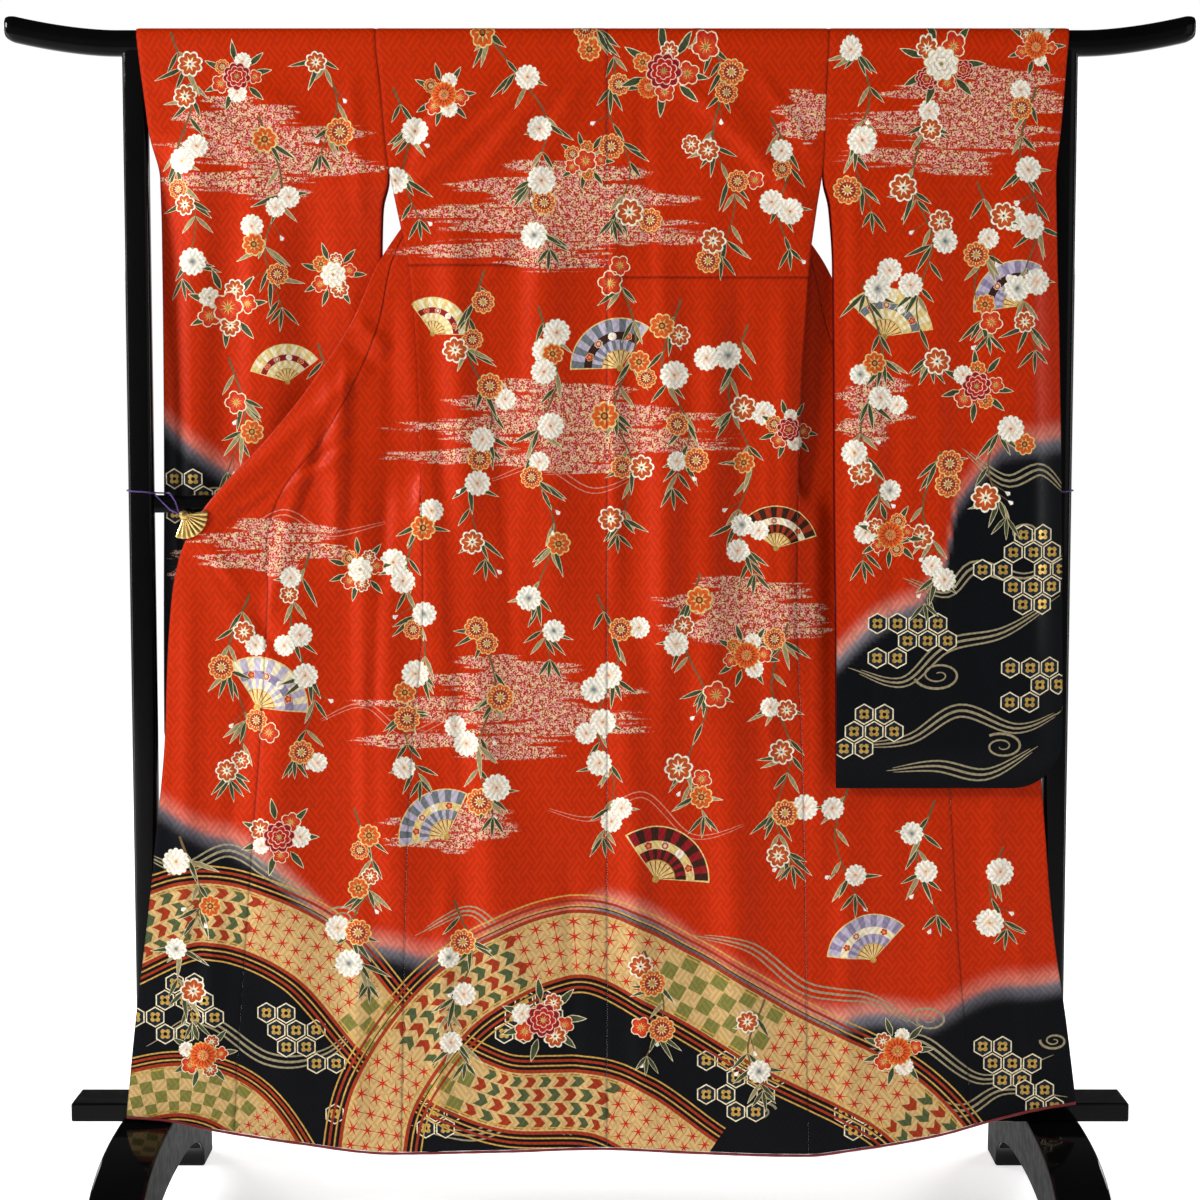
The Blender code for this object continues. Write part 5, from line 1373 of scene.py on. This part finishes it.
def silk(name, misty=False, gilded=False, lining=False):
    """Figured silk, dyed by the mesh's dye; dusted with mist, under gold leaf, or as plain lining."""
    material, tree, shader = new_material(name)
    woven = reading(tree, "woven", "Vector")
    uneven, threads = noise(tree, woven, 23.0, 3.0), noise(tree, woven, 1500.0, 1.0)
    if lining:
        colour = blend(tree, reading(tree, "trim"), dyed("lining"), dyed("deep_red"))
        figure, gloss = 0.5, 0.48
    else:
        colour, figure = reading(tree, "dye", "Color"), key_fret(tree, woven)
        gloss = maths(tree, "MULTIPLY_ADD", figure, 0.12, 0.26 if gilded else 0.42)
    if misty:
        density = reading(tree, "mist")
        # Each band breaks up into streaks at its ends, and all of it is fine dots of gold and pink
        drawn_out = node(tree, "ShaderNodeVectorMath", {0: woven, 1: (0.07, 1.0, 1.0)}, operation="MULTIPLY")
        level = maths(tree, "MULTIPLY_ADD", noise(tree, drawn_out, 160.0, 2.0), 3.6, -2.20)
        level = maths(tree, "MULTIPLY_ADD", density, 1.15, level)
        touched = maths(tree, "MULTIPLY", spread(tree, level, 0.0, 0.30), spread(tree, density, 0.03, 0.20))
        dots = maths(tree, "MULTIPLY_ADD", noise(tree, woven, 150.0, 2.0), 0.55,
                     noise(tree, woven, 400.0, 2.0, Roughness=0.6))
        fleck = maths(tree, "MULTIPLY", spread(tree, dots, 0.745, 0.815, 0.0, 0.92), touched)
        colour = blend(tree, maths(tree, "MULTIPLY", touched, 0.30), colour, dyed("deep_red"))
        hue = node(tree, "ShaderNodeValToRGB", {0: noise(tree, woven, 95.0, 3.0)})
        for k, (position, dye) in enumerate(((0.46, "mist_pink"), (0.54, "mist_gold"))):
            hue.node.color_ramp.elements[k].position = position
            hue.node.color_ramp.elements[k].color = dyed(dye)
        colour = blend(tree, fleck, colour, hue)
    # The figure is painted a shade darker than its satin ground, a painted shade in place of the way its satin
    # catches the light, and no bolt takes dye quite evenly
    figure_shade_and_dye_tone = maths(tree, "MULTIPLY_ADD", figure, -0.22, 1.08)
    for part in (uneven, threads):
        figure_shade_and_dye_tone = maths(tree, "MULTIPLY", figure_shade_and_dye_tone, maths(tree, "MULTIPLY_ADD", part, 0.10, 0.95))
    colour = node(tree, "ShaderNodeVectorMath", {0: colour, "Scale": figure_shade_and_dye_tone}, operation="SCALE")
    if gilded:
        worn = noise(tree, woven, 420.0, 3.0)
        feed(shader, {"Metallic": maths(tree, "MULTIPLY", spread(tree, worn, 0.40, 0.62, 0.55, 1.0), 0.9)})
        gloss = maths(tree, "MULTIPLY_ADD", worn, 0.25, gloss)
    raised = maths(tree, "MULTIPLY_ADD", threads, 0.5, maths(tree, "MULTIPLY", figure, 0.6))
    feed(shader, {"Base Color": colour, "Roughness": gloss, "Specular IOR Level": 0.5 if gilded else 0.10,
                  "Normal": bump(tree, raised, 0.35, 0.00012)})
    return material


ground_silk = silk("figured_silk_vermilion_dyed", misty=True)
painted_silk = silk("figured_silk_yuzen_painted")
leafed_silk = silk("figured_silk_gold_leaf", gilded=True)
lining_silk = silk("plain_silk_lining", lining=True)


def lacquer(name, sharpest, dullest):
    """Black urushi lacquer: deep gloss over a ground with the faint unevenness of hand rubbing."""
    material, tree, shader = new_material(name)
    place = object_place(tree)
    rubbed, dulled = noise(tree, place, 9.0, 3.0), noise(tree, place, 60.0, 4.0)
    feed(shader, {"Base Color": blend(tree, rubbed, (0.0012, 0.0011, 0.0014, 1), (0.0034, 0.0032, 0.0036, 1)),
                  "Roughness": spread(tree, dulled, 0.35, 0.75, sharpest, dullest), "Specular IOR Level": 0.11,
                  "Normal": bump(tree, rubbed, 0.10, 0.0012)})
    return material


def gilt():
    """Gilded brass with a fine brushed grain, and a little darker where it is handled less."""
    material, tree, shader = new_material("gilded_brass")
    place = object_place(tree)
    tarnish = noise(tree, place, 90.0, 4.0)
    feed(shader, {"Base Color": blend(tree, tarnish, (0.92, 0.66, 0.24, 1), (0.60, 0.38, 0.11, 1)), "Metallic": 1.0,
                  "Roughness": spread(tree, tarnish, 0.3, 0.8, 0.20, 0.42),
                  "Normal": bump(tree, noise(tree, place, 900.0, 2.0), 0.15, 0.0001)})
    return material


def braid(name, dye_name, roughness, sheen):
    """Twisted silk cord: the ply shows as fine slanted ridges."""
    material, tree, shader = new_material(name)
    ply = node(tree, "ShaderNodeTexWave", {"Vector": object_place(tree), "Scale": 260.0, "Distortion": 1.5,
                                           "Detail": 1.0}, bands_direction="DIAGONAL")
    # Painted shade and light: the colour is darker in the grooves of the ply and paler on its crests, following the
    # bump
    deep, pale = DYES[dye_name] * 0.55, DYES[dye_name] * 1.25
    feed(shader, {"Base Color": blend(tree, ply, (*deep, 1), (*pale, 1)), "Roughness": roughness,
                  "Sheen Weight": sheen, "Normal": bump(tree, ply, 0.6, 0.0003)})
    return material


urushi, satin_urushi = lacquer("black_urushi_lacquer", 0.055, 0.15), lacquer("rubbed_urushi_lacquer", 0.55, 0.70)
gilded_brass = gilt()
purple_cord = braid("purple_silk_cord", "purple", 0.75, 0.2)
hem_silk = braid("deep_red_silk_hem", "deep_red", 0.5, 0.05)
print("materials:", ", ".join(material.name for material in bpy.data.materials))

# %% [markdown]
# ## The silk is laid
# Each sheet stands for its solid, and its flat size as cut is listed beside it. The cut lengths count the
# whole panel, over the rail and down to the hem.

# %% Lay the panels
# Width and length of each sheet as it was cut, how it is held, what it rests on, and its flat area
CUT_SIZES = {
    "back": ((0.300, 1.620), "hung", ("rail_top",), 0.43),
    "front": ((0.226, 1.620), "hung", ("rail_top",), 0.36),
    "overlap": ((0.150, 1.340), "hung", ("front_silk",), 0.145),
    "collar": ((0.060, 1.000), "hung", ("front_silk",), 0.056),
    "sleeve_back": ((0.330, 1.080), "hung", ("rail_top",), 0.345),
    "sleeve_front": ((0.330, 1.080), "hung", ("rail_top",), 0.335),
}
laid = {}
for panel in panels:
    piece = lay(panel)
    for material in (ground_silk, painted_silk, leafed_silk, lining_silk):
        piece.data.materials.append(material)
    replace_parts(piece, panel.name)
    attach(piece, "root")
    laid[panel.name] = piece
    area = sum(face.area for face in piece.data.polygons) / 2
    print(f"{piece.name}: {len(piece.data.loop_triangles)} triangles, {area:.3f} square metres")
print("silk in all:", sum(len(piece.data.loop_triangles) for piece in laid.values()), "triangles")

for name, piece in laid.items():
    if name == "collar_neck":
        continue
    word = "left" if "left" in name else "right"
    kind = name.replace("_" + word, "")
    flat_size, held, carriers, area = CUT_SIZES[kind]
    carriers = [f"front_{word}_silk" if carrier == "front_silk" else carrier for carrier in carriers]

# %% [markdown]
# ## The hem roll
# The red lining is drawn a little past the hem and rolled over wadding. It follows the lowest line of
# every panel, from one front edge to the other.

# %% Hem roll


def mesh_piece(name, points, faces, material, slot):
    """A new closed piece with its normals outwards, riding the one body."""
    mesh = bpy.data.meshes.new(name)
    mesh.from_pydata([tuple(float(c) for c in p) for p in points], [], [tuple(int(i) for i in f) for f in faces])
    work = bmesh.new()
    work.from_mesh(mesh)
    bmesh.ops.recalc_face_normals(work, faces=work.faces)
    work.to_mesh(mesh)
    work.free()
    mesh.shade_smooth()
    mesh.set_sharp_from_angle(angle=math.radians(38))
    mesh.materials.append(material)
    piece = put(name, mesh)
    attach(piece, "root")
    return piece


def tube(rings):
    """Points and faces of a closed tube through rings of the same count."""
    count = len(rings[0])
    points = [point for ring in rings for point in ring]
    faces = [(i * count + k, i * count + (k + 1) % count, (i + 1) * count + (k + 1) % count, (i + 1) * count + k)
             for i in range(len(rings) - 1) for k in range(count)]
    return points, faces + [tuple(range(count)), tuple(range(len(points) - count, len(points)))]


hem_line = []
for side in (LEFT, RIGHT):
    for place in (back_place, front_place, overlap_place):
        share = np.linspace(0, 1, 61)
        hem_line += list(zip(*place(side, share, np.full(61, HEM_LEVEL))))
hem_line = np.array(sorted(hem_line))
at = np.linspace(hem_line[0, 0], hem_line[-1, 0], 330)
hem_path = np.stack([at] + [np.interp(at, hem_line[:, 0], hem_line[:, k]) for k in (1, 2)], axis=1)
window = np.ones(5) / 5
padded_depth = np.convolve(np.pad(hem_path[:, 1], 2, mode="edge"), window, mode="valid")
rings = []
for k, (x, _, z) in enumerate(hem_path):
    plump = ROLL_RADIUS * (1.0 + 0.05 * math.sin(k * 0.9) + 0.04 * math.sin(k * 0.37))
    centre = z - 2 * GAP - ROLL_RADIUS
    rings.append([(x, padded_depth[k] + plump * math.cos(a), centre + plump * math.sin(a))
                  for a in np.linspace(0, 2 * math.pi, 10, endpoint=False)])
roll = mesh_piece("hem_roll_silk", *tube(rings), hem_silk, "lining")
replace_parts(roll, "hem_roll")
print("hem roll", round(float(at[-1] - at[0]), 3), "m across")

# %% [markdown]
# ## The stand
# Black lacquered members of the same sections as the solids, drawn with enough facets to carry a mirror
# gloss, and with the softened edges that thick lacquer gives.

# %% Stand
RAIL_REACH, TIP_START, TIP_RISE = 0.822, 0.668, 0.022
POST_X, POST_WIDE, POST_DEEP, POST_SQUARENESS = 0.643, 0.036, 0.026, 3.0
MIDDLE_CENTRE, MIDDLE_TALL, MIDDLE_DEEP = 1.0255, 0.025, 0.018
FOOT_CROWN, FOOT_WIDE, FOOT_REACH, ARCH_CLEAR, ARCH_REACH = 0.150, 0.075, 0.315, 0.072, 0.235
BOARD_REACH, BOARD_TALL, BOARD_DEEP, BOARD_LOW = 0.750, 0.027, 0.075, 0.150 + GAP


def rounded(count, wide, deep, squareness):
    angle = 2 * math.pi * (np.arange(count) + 0.5) / count
    c, s = np.cos(angle), np.sin(angle)
    power = 2 / squareness
    return np.stack([np.sign(c) * wide * np.abs(c) ** power, np.sign(s) * deep * np.abs(s) ** power], axis=1)


def soften(piece, width, segments=4):
    bevel = piece.modifiers.new("soft_edges", "BEVEL")
    bevel.width = width
    bevel.segments = segments
    bevel.limit_method = "ANGLE"
    bevel.angle_limit = math.radians(40)
    bevel.harden_normals = False
    return piece


def rail_lift(x):
    return TIP_RISE * (max(abs(x) - TIP_START, 0.0) / (RAIL_REACH - TIP_START)) ** 1.7


section = rounded(56, RAIL_DEEP / 2, RAIL_TALL / 2, RAIL_SQUARENESS)
half = [(x, 1.0) for x in np.linspace(0.02, TIP_START, 12)]
half += [(x, 1.0) for x in np.linspace(TIP_START, 0.808, 22)[1:]]
half += [(0.812, 0.965), (0.816, 0.90), (0.819, 0.81), (0.821, 0.70), (RAIL_REACH, 0.56)]
stations = [(-x, size) for x, size in reversed(half)] + half
rings = [[(x, y * size, RAIL_CENTRE + rail_lift(x) + z * size) for y, z in section] for x, size in stations]
rail = mesh_piece("top_rail_lacquered", *tube(rings), urushi, "lacquer")
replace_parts(rail, "rail_top")

for word, side in (("left", LEFT), ("right", RIGHT)):
    section = rounded(64, POST_WIDE / 2, POST_DEEP / 2, POST_SQUARENESS)
    deep, tall = RAIL_DEEP / 2 + GAP, RAIL_TALL / 2 + GAP
    under = RAIL_CENTRE - tall * (1 - (np.abs(section[:, 1]) / deep) ** RAIL_SQUARENESS) ** (1 / RAIL_SQUARENESS)
    top = under - 0.0004
    low = np.full(64, BOARD_LOW + BOARD_TALL + GAP)
    rings = [[(side * POST_X + x * size, y * size, z) for (x, y), z in zip(section, mix(low, top, share))]
             for share, size in zip((0.0, 0.0008, 0.002, 0.25, 0.5, 0.75, 1.0), (0.96, 0.99, 1, 1, 1, 1, 1))]
    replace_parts(mesh_piece(f"post_{word}_lacquered", *tube(rings), urushi, "lacquer"), f"post_{word}")

    outer, inner = ([(share * reach, high * max(1 - abs(share) ** power, 0.0) ** (1 / power))
                     for share in np.sin(np.linspace(-math.pi / 2, math.pi / 2, 49))]
                    for reach, high, power in ((FOOT_REACH, FOOT_CROWN, 3.0), (ARCH_REACH, ARCH_CLEAR, 2.4)))
    loop = outer + inner[::-1]
    count = len(loop)
    points = [(side * POST_X + sx * FOOT_WIDE / 2, y, z) for sx in (-1, 1) for y, z in loop]
    faces = [tuple(count * row + k for k in (k, k + 1, count - 2 - k, count - 1 - k)) for row in (0, 1)
             for k in range(len(outer) - 1)]
    faces += [(k, (k + 1) % count, count + (k + 1) % count, count + k) for k in range(count)]
    arch = soften(mesh_piece(f"foot_{word}_lacquered", points, faces, urushi, "lacquer"), 0.004)
    # The flat sides are rubbed down to satin
    arch.data.materials.append(satin_urushi)
    for face in arch.data.polygons:
        face.material_index = int(abs(face.normal.x) > 0.9)
    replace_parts(arch, f"foot_{word}")

section = rounded(48, MIDDLE_DEEP / 2, MIDDLE_TALL / 2, 4.0)
end = POST_X - POST_WIDE / 2 - GAP
bar = mesh_piece("middle_rail_lacquered", *tube([[(x, y, MIDDLE_CENTRE + z) for y, z in section]
                                                 for x in np.linspace(-end, end, 9)]), urushi, "lacquer")
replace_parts(bar, "rail_middle")

corners = [(x, y, z) for z in (BOARD_LOW, BOARD_LOW + BOARD_TALL)
           for x, y in ((-BOARD_REACH, -BOARD_DEEP / 2), (BOARD_REACH, -BOARD_DEEP / 2),
                        (BOARD_REACH, BOARD_DEEP / 2), (-BOARD_REACH, BOARD_DEEP / 2))]
plank = mesh_piece("board_lacquered", corners, [(0, 3, 2, 1), (4, 5, 6, 7), (0, 1, 5, 4), (1, 2, 6, 5), (2, 3, 7, 6),
                                                (3, 0, 4, 7)], urushi, "lacquer")
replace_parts(soften(plank, 0.003), "board")
print("stand: rail, two posts, two feet, middle rail and board")

# %% [markdown]
# ## The clips
# Each front is held open by a gilded clip shaped as a folding fan, on a purple cord round its post. The
# fan has nine pleats, a rolled rim, a rivet at its pivot, and a toothed tongue behind the cloth.

# %% Clips
FAN_RADIUS, FAN_HUB, FAN_RIBS, FAN_THICK, RIB_HIGH = 0.033, 0.007, 9, 0.0012, 0.0016
FAN_FIRST, FAN_LAST, CLIP_OUT, CLIP_Z = 12.0, -112.0, 0.580, 1.011
JAW_THICK, TONGUE_REACH, TONGUE_SPAN, CLIP_EASE = 0.0015, 0.026, (-20.0, -80.0), 0.00035
CORD_WIDE, CORD_EASE = 0.0022, 0.0009


def arc_points(side, radius, steps, first, last):
    angle = np.radians(np.linspace(first, last, steps + 1))
    return np.stack([side * CLIP_OUT - side * radius * np.cos(angle), CLIP_Z + radius * np.sin(angle)], axis=1)


def clip_faces(side):
    """Depths of the clip's two faces, each just off the cloth that lies under it."""
    near, far = [], []
    for radius in (FAN_RADIUS / 3, FAN_RADIUS * 2 / 3, FAN_RADIUS):
        for x, z in arc_points(side, radius, 8, FAN_FIRST, FAN_LAST):
            if abs(x) < front_edge[side](z):
                near.append(float(open_of[side](z) - fold_depth("body", np.array([x]), z)[0] - CLOTH / 2))
        for x, z in arc_points(side, radius, 8, *TONGUE_SPAN):
            if radius < FAN_RADIUS and abs(x) < front_edge[side](z):
                far.append(float(outer_layer(side, abs(x), z) + COLLAR_LAY + CLOTH / 2))
    return min(near) - CLIP_EASE, max(far) + CLIP_EASE


def plate_faces(first, rings, row):
    """Faces of a thin plate of two equal grids of points, and of the rim that joins them."""
    sheet = rings * row
    starts = [first + layer * sheet + j * row + k
              for layer in (0, 1) for j in range(rings - 1) for k in range(row - 1)]
    border = list(range(row)) + [j * row + row - 1 for j in range(1, rings)]
    border += [(rings - 1) * row + k for k in range(row - 2, -1, -1)] + [j * row for j in range(rings - 2, 0, -1)]
    return [(a, a + 1, a + row + 1, a + row) for a in starts] + [
        (first + a, first + b, first + sheet + b, first + sheet + a) for a, b in zip(border, border[1:] + border[:1])]


for word, side in (("left", LEFT), ("right", RIGHT)):
    front, back = clip_faces(side)
    # Pleated leaf: a ring of points for each radius, front and back
    steps = FAN_RIBS * 4
    radii = (FAN_HUB, 0.012, 0.019, 0.026, 0.0312, FAN_RADIUS)
    points = []
    for layer in (0, 1):
        for j, radius in enumerate(radii):
            rise = mix(0.4, 1.0, (radius - FAN_HUB) / (FAN_RADIUS - FAN_HUB))
            for k, (x, z) in enumerate(arc_points(side, radius, steps, FAN_FIRST, FAN_LAST)):
                pleat = (0.0, 0.62, 1.0, 0.62)[k % 4] * RIB_HIGH * rise
                rim = 0.00045 if j == 4 else 0.0
                y = front - (FAN_THICK + pleat + rim if layer == 0 else 0.0)
                scallop = 1 + (0.012 * (1 - (0.0, 0.7, 1.0, 0.7)[k % 4]) if j == 5 else 0.0)
                points.append((side * CLIP_OUT + (x - side * CLIP_OUT) / scallop, y, CLIP_Z + (z - CLIP_Z) / scallop))
    faces = plate_faces(0, len(radii), steps + 1)
    leaf_piece = mesh_piece(f"clip_{word}_fan_gilt", points, faces, gilded_brass, "gilt")
    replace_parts(leaf_piece, f"clip_{word}_fan")

    # Hub with a domed rivet, and the tongue behind the cloth with a rolled, toothed end
    hub = FAN_HUB - 2 * GAP
    near_y, far_y = front - FAN_THICK - RIB_HIGH, back + JAW_THICK
    profile = [(near_y, 0.30), (near_y + 0.0003, 0.62), (near_y + 0.0008, 0.74), (near_y + 0.0009, 0.92),
               (near_y + 0.0014, 1.0), (far_y - 0.0005, 1.0), (far_y, 0.90)]
    rings = [[(side * CLIP_OUT + hub * size * math.cos(a), y, CLIP_Z + hub * size * math.sin(a))
              for a in np.linspace(0, 2 * math.pi, 40, endpoint=False)] for y, size in profile]
    points, faces = tube(rings)
    tongue = [arc_points(side, r, 14, *TONGUE_SPAN) for r in (0.006, 0.013, 0.020, 0.0245, TONGUE_REACH)]
    first = len(points)
    for layer in (0, 1):
        for j, ring in enumerate(tongue):
            for k, (x, z) in enumerate(ring):
                tooth = 0.0007 * (k % 2) if j == 4 else 0.0
                y = back + (0.0 if layer == 0 else JAW_THICK * (1.0 if 0 < j < 4 else 0.7))
                points.append((x + tooth * side, y, z))
    faces += plate_faces(first, len(tongue), 15)
    jaw_piece = mesh_piece(f"clip_{word}_jaw_gilt", points, faces, gilded_brass, "gilt")
    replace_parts(jaw_piece, f"clip_{word}_jaw")

    # The cord, along the solid's route on a smooth curve
    start_y, radius = (front + back) / 2, CORD_WIDE / 2
    wide, deep = POST_WIDE / 2 + radius + CORD_EASE, POST_DEEP / 2 + radius + CORD_EASE
    eye = side * (CLIP_OUT + FAN_HUB - GAP + radius)
    loop_z = MIDDLE_CENTRE + MIDDLE_TALL / 2 + radius + 0.0015
    route = [(eye, start_y - 0.0014, CLIP_Z + 0.0014), (side * (CLIP_OUT + 0.020), start_y + 0.0005, CLIP_Z + 0.007)]
    for k in range(17):
        angle = math.radians(-155 + 310 * k / 16)
        c, s = math.cos(angle), math.sin(angle)
        x = math.copysign(wide * abs(c) ** (2 / POST_SQUARENESS), c)
        y = math.copysign(deep * abs(s) ** (2 / POST_SQUARENESS), s)
        route.append((side * (POST_X + x), y, loop_z + 0.004 * math.sin(math.pi * k / 16)))
    before_rail = min(start_y + 0.004, -MIDDLE_DEEP / 2 - radius - 0.0012)
    route += [(side * (CLIP_OUT + 0.028), 0.002, loop_z), (side * (CLIP_OUT + 0.024), -0.006, loop_z + 0.0004),
              (side * (CLIP_OUT + 0.020), before_rail, loop_z),
              (side * (CLIP_OUT + 0.013), before_rail, loop_z - 0.011),
              (eye, min(start_y + 0.0028, before_rail + 0.0006), CLIP_Z + 0.0034)]
    line = bpy.data.curves.new(f"cord_{word}_braid", "CURVE")
    line.dimensions = "3D"
    line.bevel_depth = radius
    line.bevel_resolution = 5
    line.use_fill_caps = True
    spline = line.splines.new("POLY")
    spline.points.add(len(route) - 1)
    for point, spot in zip(spline.points, route):
        point.co = (*spot, 1.0)
    line.materials.append(purple_cord)
    cord = put(f"cord_{word}_braid", line)
    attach(cord, "root")
    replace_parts(cord, f"cord_{word}")
print("clips of", FAN_RIBS, "pleats on both fronts")

# %% [markdown]
# ## Floor and light
# A round pale floor fades into a pale horizon on every side, so the object can be seen from all round. The
# floor also glows of itself, a painted light that is strongest behind the stand, where the garment would shade it,
# and weakest in front. A large soft light stands to the left, a weaker one to the right, two behind, and two
# narrow strips draw the long highlights that the lacquer shows.

# %% Floor and lights
FLOOR_REACH = 9.0
ring = [(FLOOR_REACH * math.cos(a), FLOOR_REACH * math.sin(a), 0.0)
        for a in np.linspace(0, 2 * math.pi, 96, endpoint=False)]
mesh = bpy.data.meshes.new("pale_floor")
mesh.from_pydata(ring, [], [tuple(range(96))])
floor = put("pale_floor", mesh)
paper, tree, shader = new_material("pale_paper_floor")
place = object_place(tree)
tint = blend(tree, noise(tree, place, 3.0, 2.0), (0.86, 0.86, 0.86, 1), (0.92, 0.92, 0.915, 1))
away = node(tree, "ShaderNodeVectorMath", {0: place}, operation="LENGTH").node.outputs["Value"]
across = node(tree, "ShaderNodeSeparateXYZ", {0: place}).node.outputs["Y"]
# Painted light: the floor glows of itself, most behind the stand where the garment would shade it and least in front
glow = maths(tree, "MULTIPLY", spread(tree, away, 0.5, 3.0, 0.60, 0.88), spread(tree, across, -0.9, 0.2, 0.22, 1.0))
feed(shader, {"Base Color": tint, "Roughness": 0.85, "Emission Color": (1.0, 1.0, 1.0, 1.0),
              "Emission Strength": glow})
mesh.materials.append(paper)


def area_light(name, place, target, wide, tall, power):
    data = bpy.data.lights.new(name, "AREA")
    data.shape = "RECTANGLE"
    data.size, data.size_y = wide, tall
    data.energy = power
    lamp = put(name, data)
    lamp.location = place
    lamp.rotation_euler = (Vector(target) - Vector(place)).to_track_quat("-Z", "Y").to_euler()


area_light("key_left", (-5.3, -2.4, 3.1), (0.05, 0.0, 0.95), 1.5, 1.5, 405)
area_light("fill_right", (2.6, -2.7, 1.7), (0.0, 0.0, 0.9), 1.6, 2.0, 8)
area_light("strip_left", (-2.7, -0.3, 1.1), (-0.64, 0.0, 1.0), 0.16, 2.4, 26)
area_light("strip_right", (2.7, -0.3, 1.1), (0.64, 0.0, 1.0), 0.16, 2.4, 26)
area_light("rear_left", (-3.1, 2.9, 2.3), (0.0, 0.0, 0.9), 1.4, 1.6, 60)
area_light("rear_right", (3.1, 2.9, 2.3), (0.0, 0.0, 0.9), 1.4, 1.6, 75)
# The room is pale up to ten degrees over the horizon and dim above, which leaves the shading to the lights
world = bpy.data.worlds.new("soft_room")
world.use_nodes = True
tree = world.node_tree
parts = node(tree, "ShaderNodeSeparateXYZ", {0: node(tree, "ShaderNodeTexCoord")}).node.outputs
behind = spread(tree, parts["Y"], -0.50, 0.15, 0.24, 1.0)
feed(tree.nodes["Background"], {"Color": (1.0, 1.0, 1.0, 1.0),
                                "Strength": spread(tree, parts["Z"], 0.155, 0.215, behind, 0.06)})
bpy.context.scene.world = world
# The saturated vermilion is shown as it is, without a film curve
bpy.context.scene.view_settings.view_transform = "Standard"
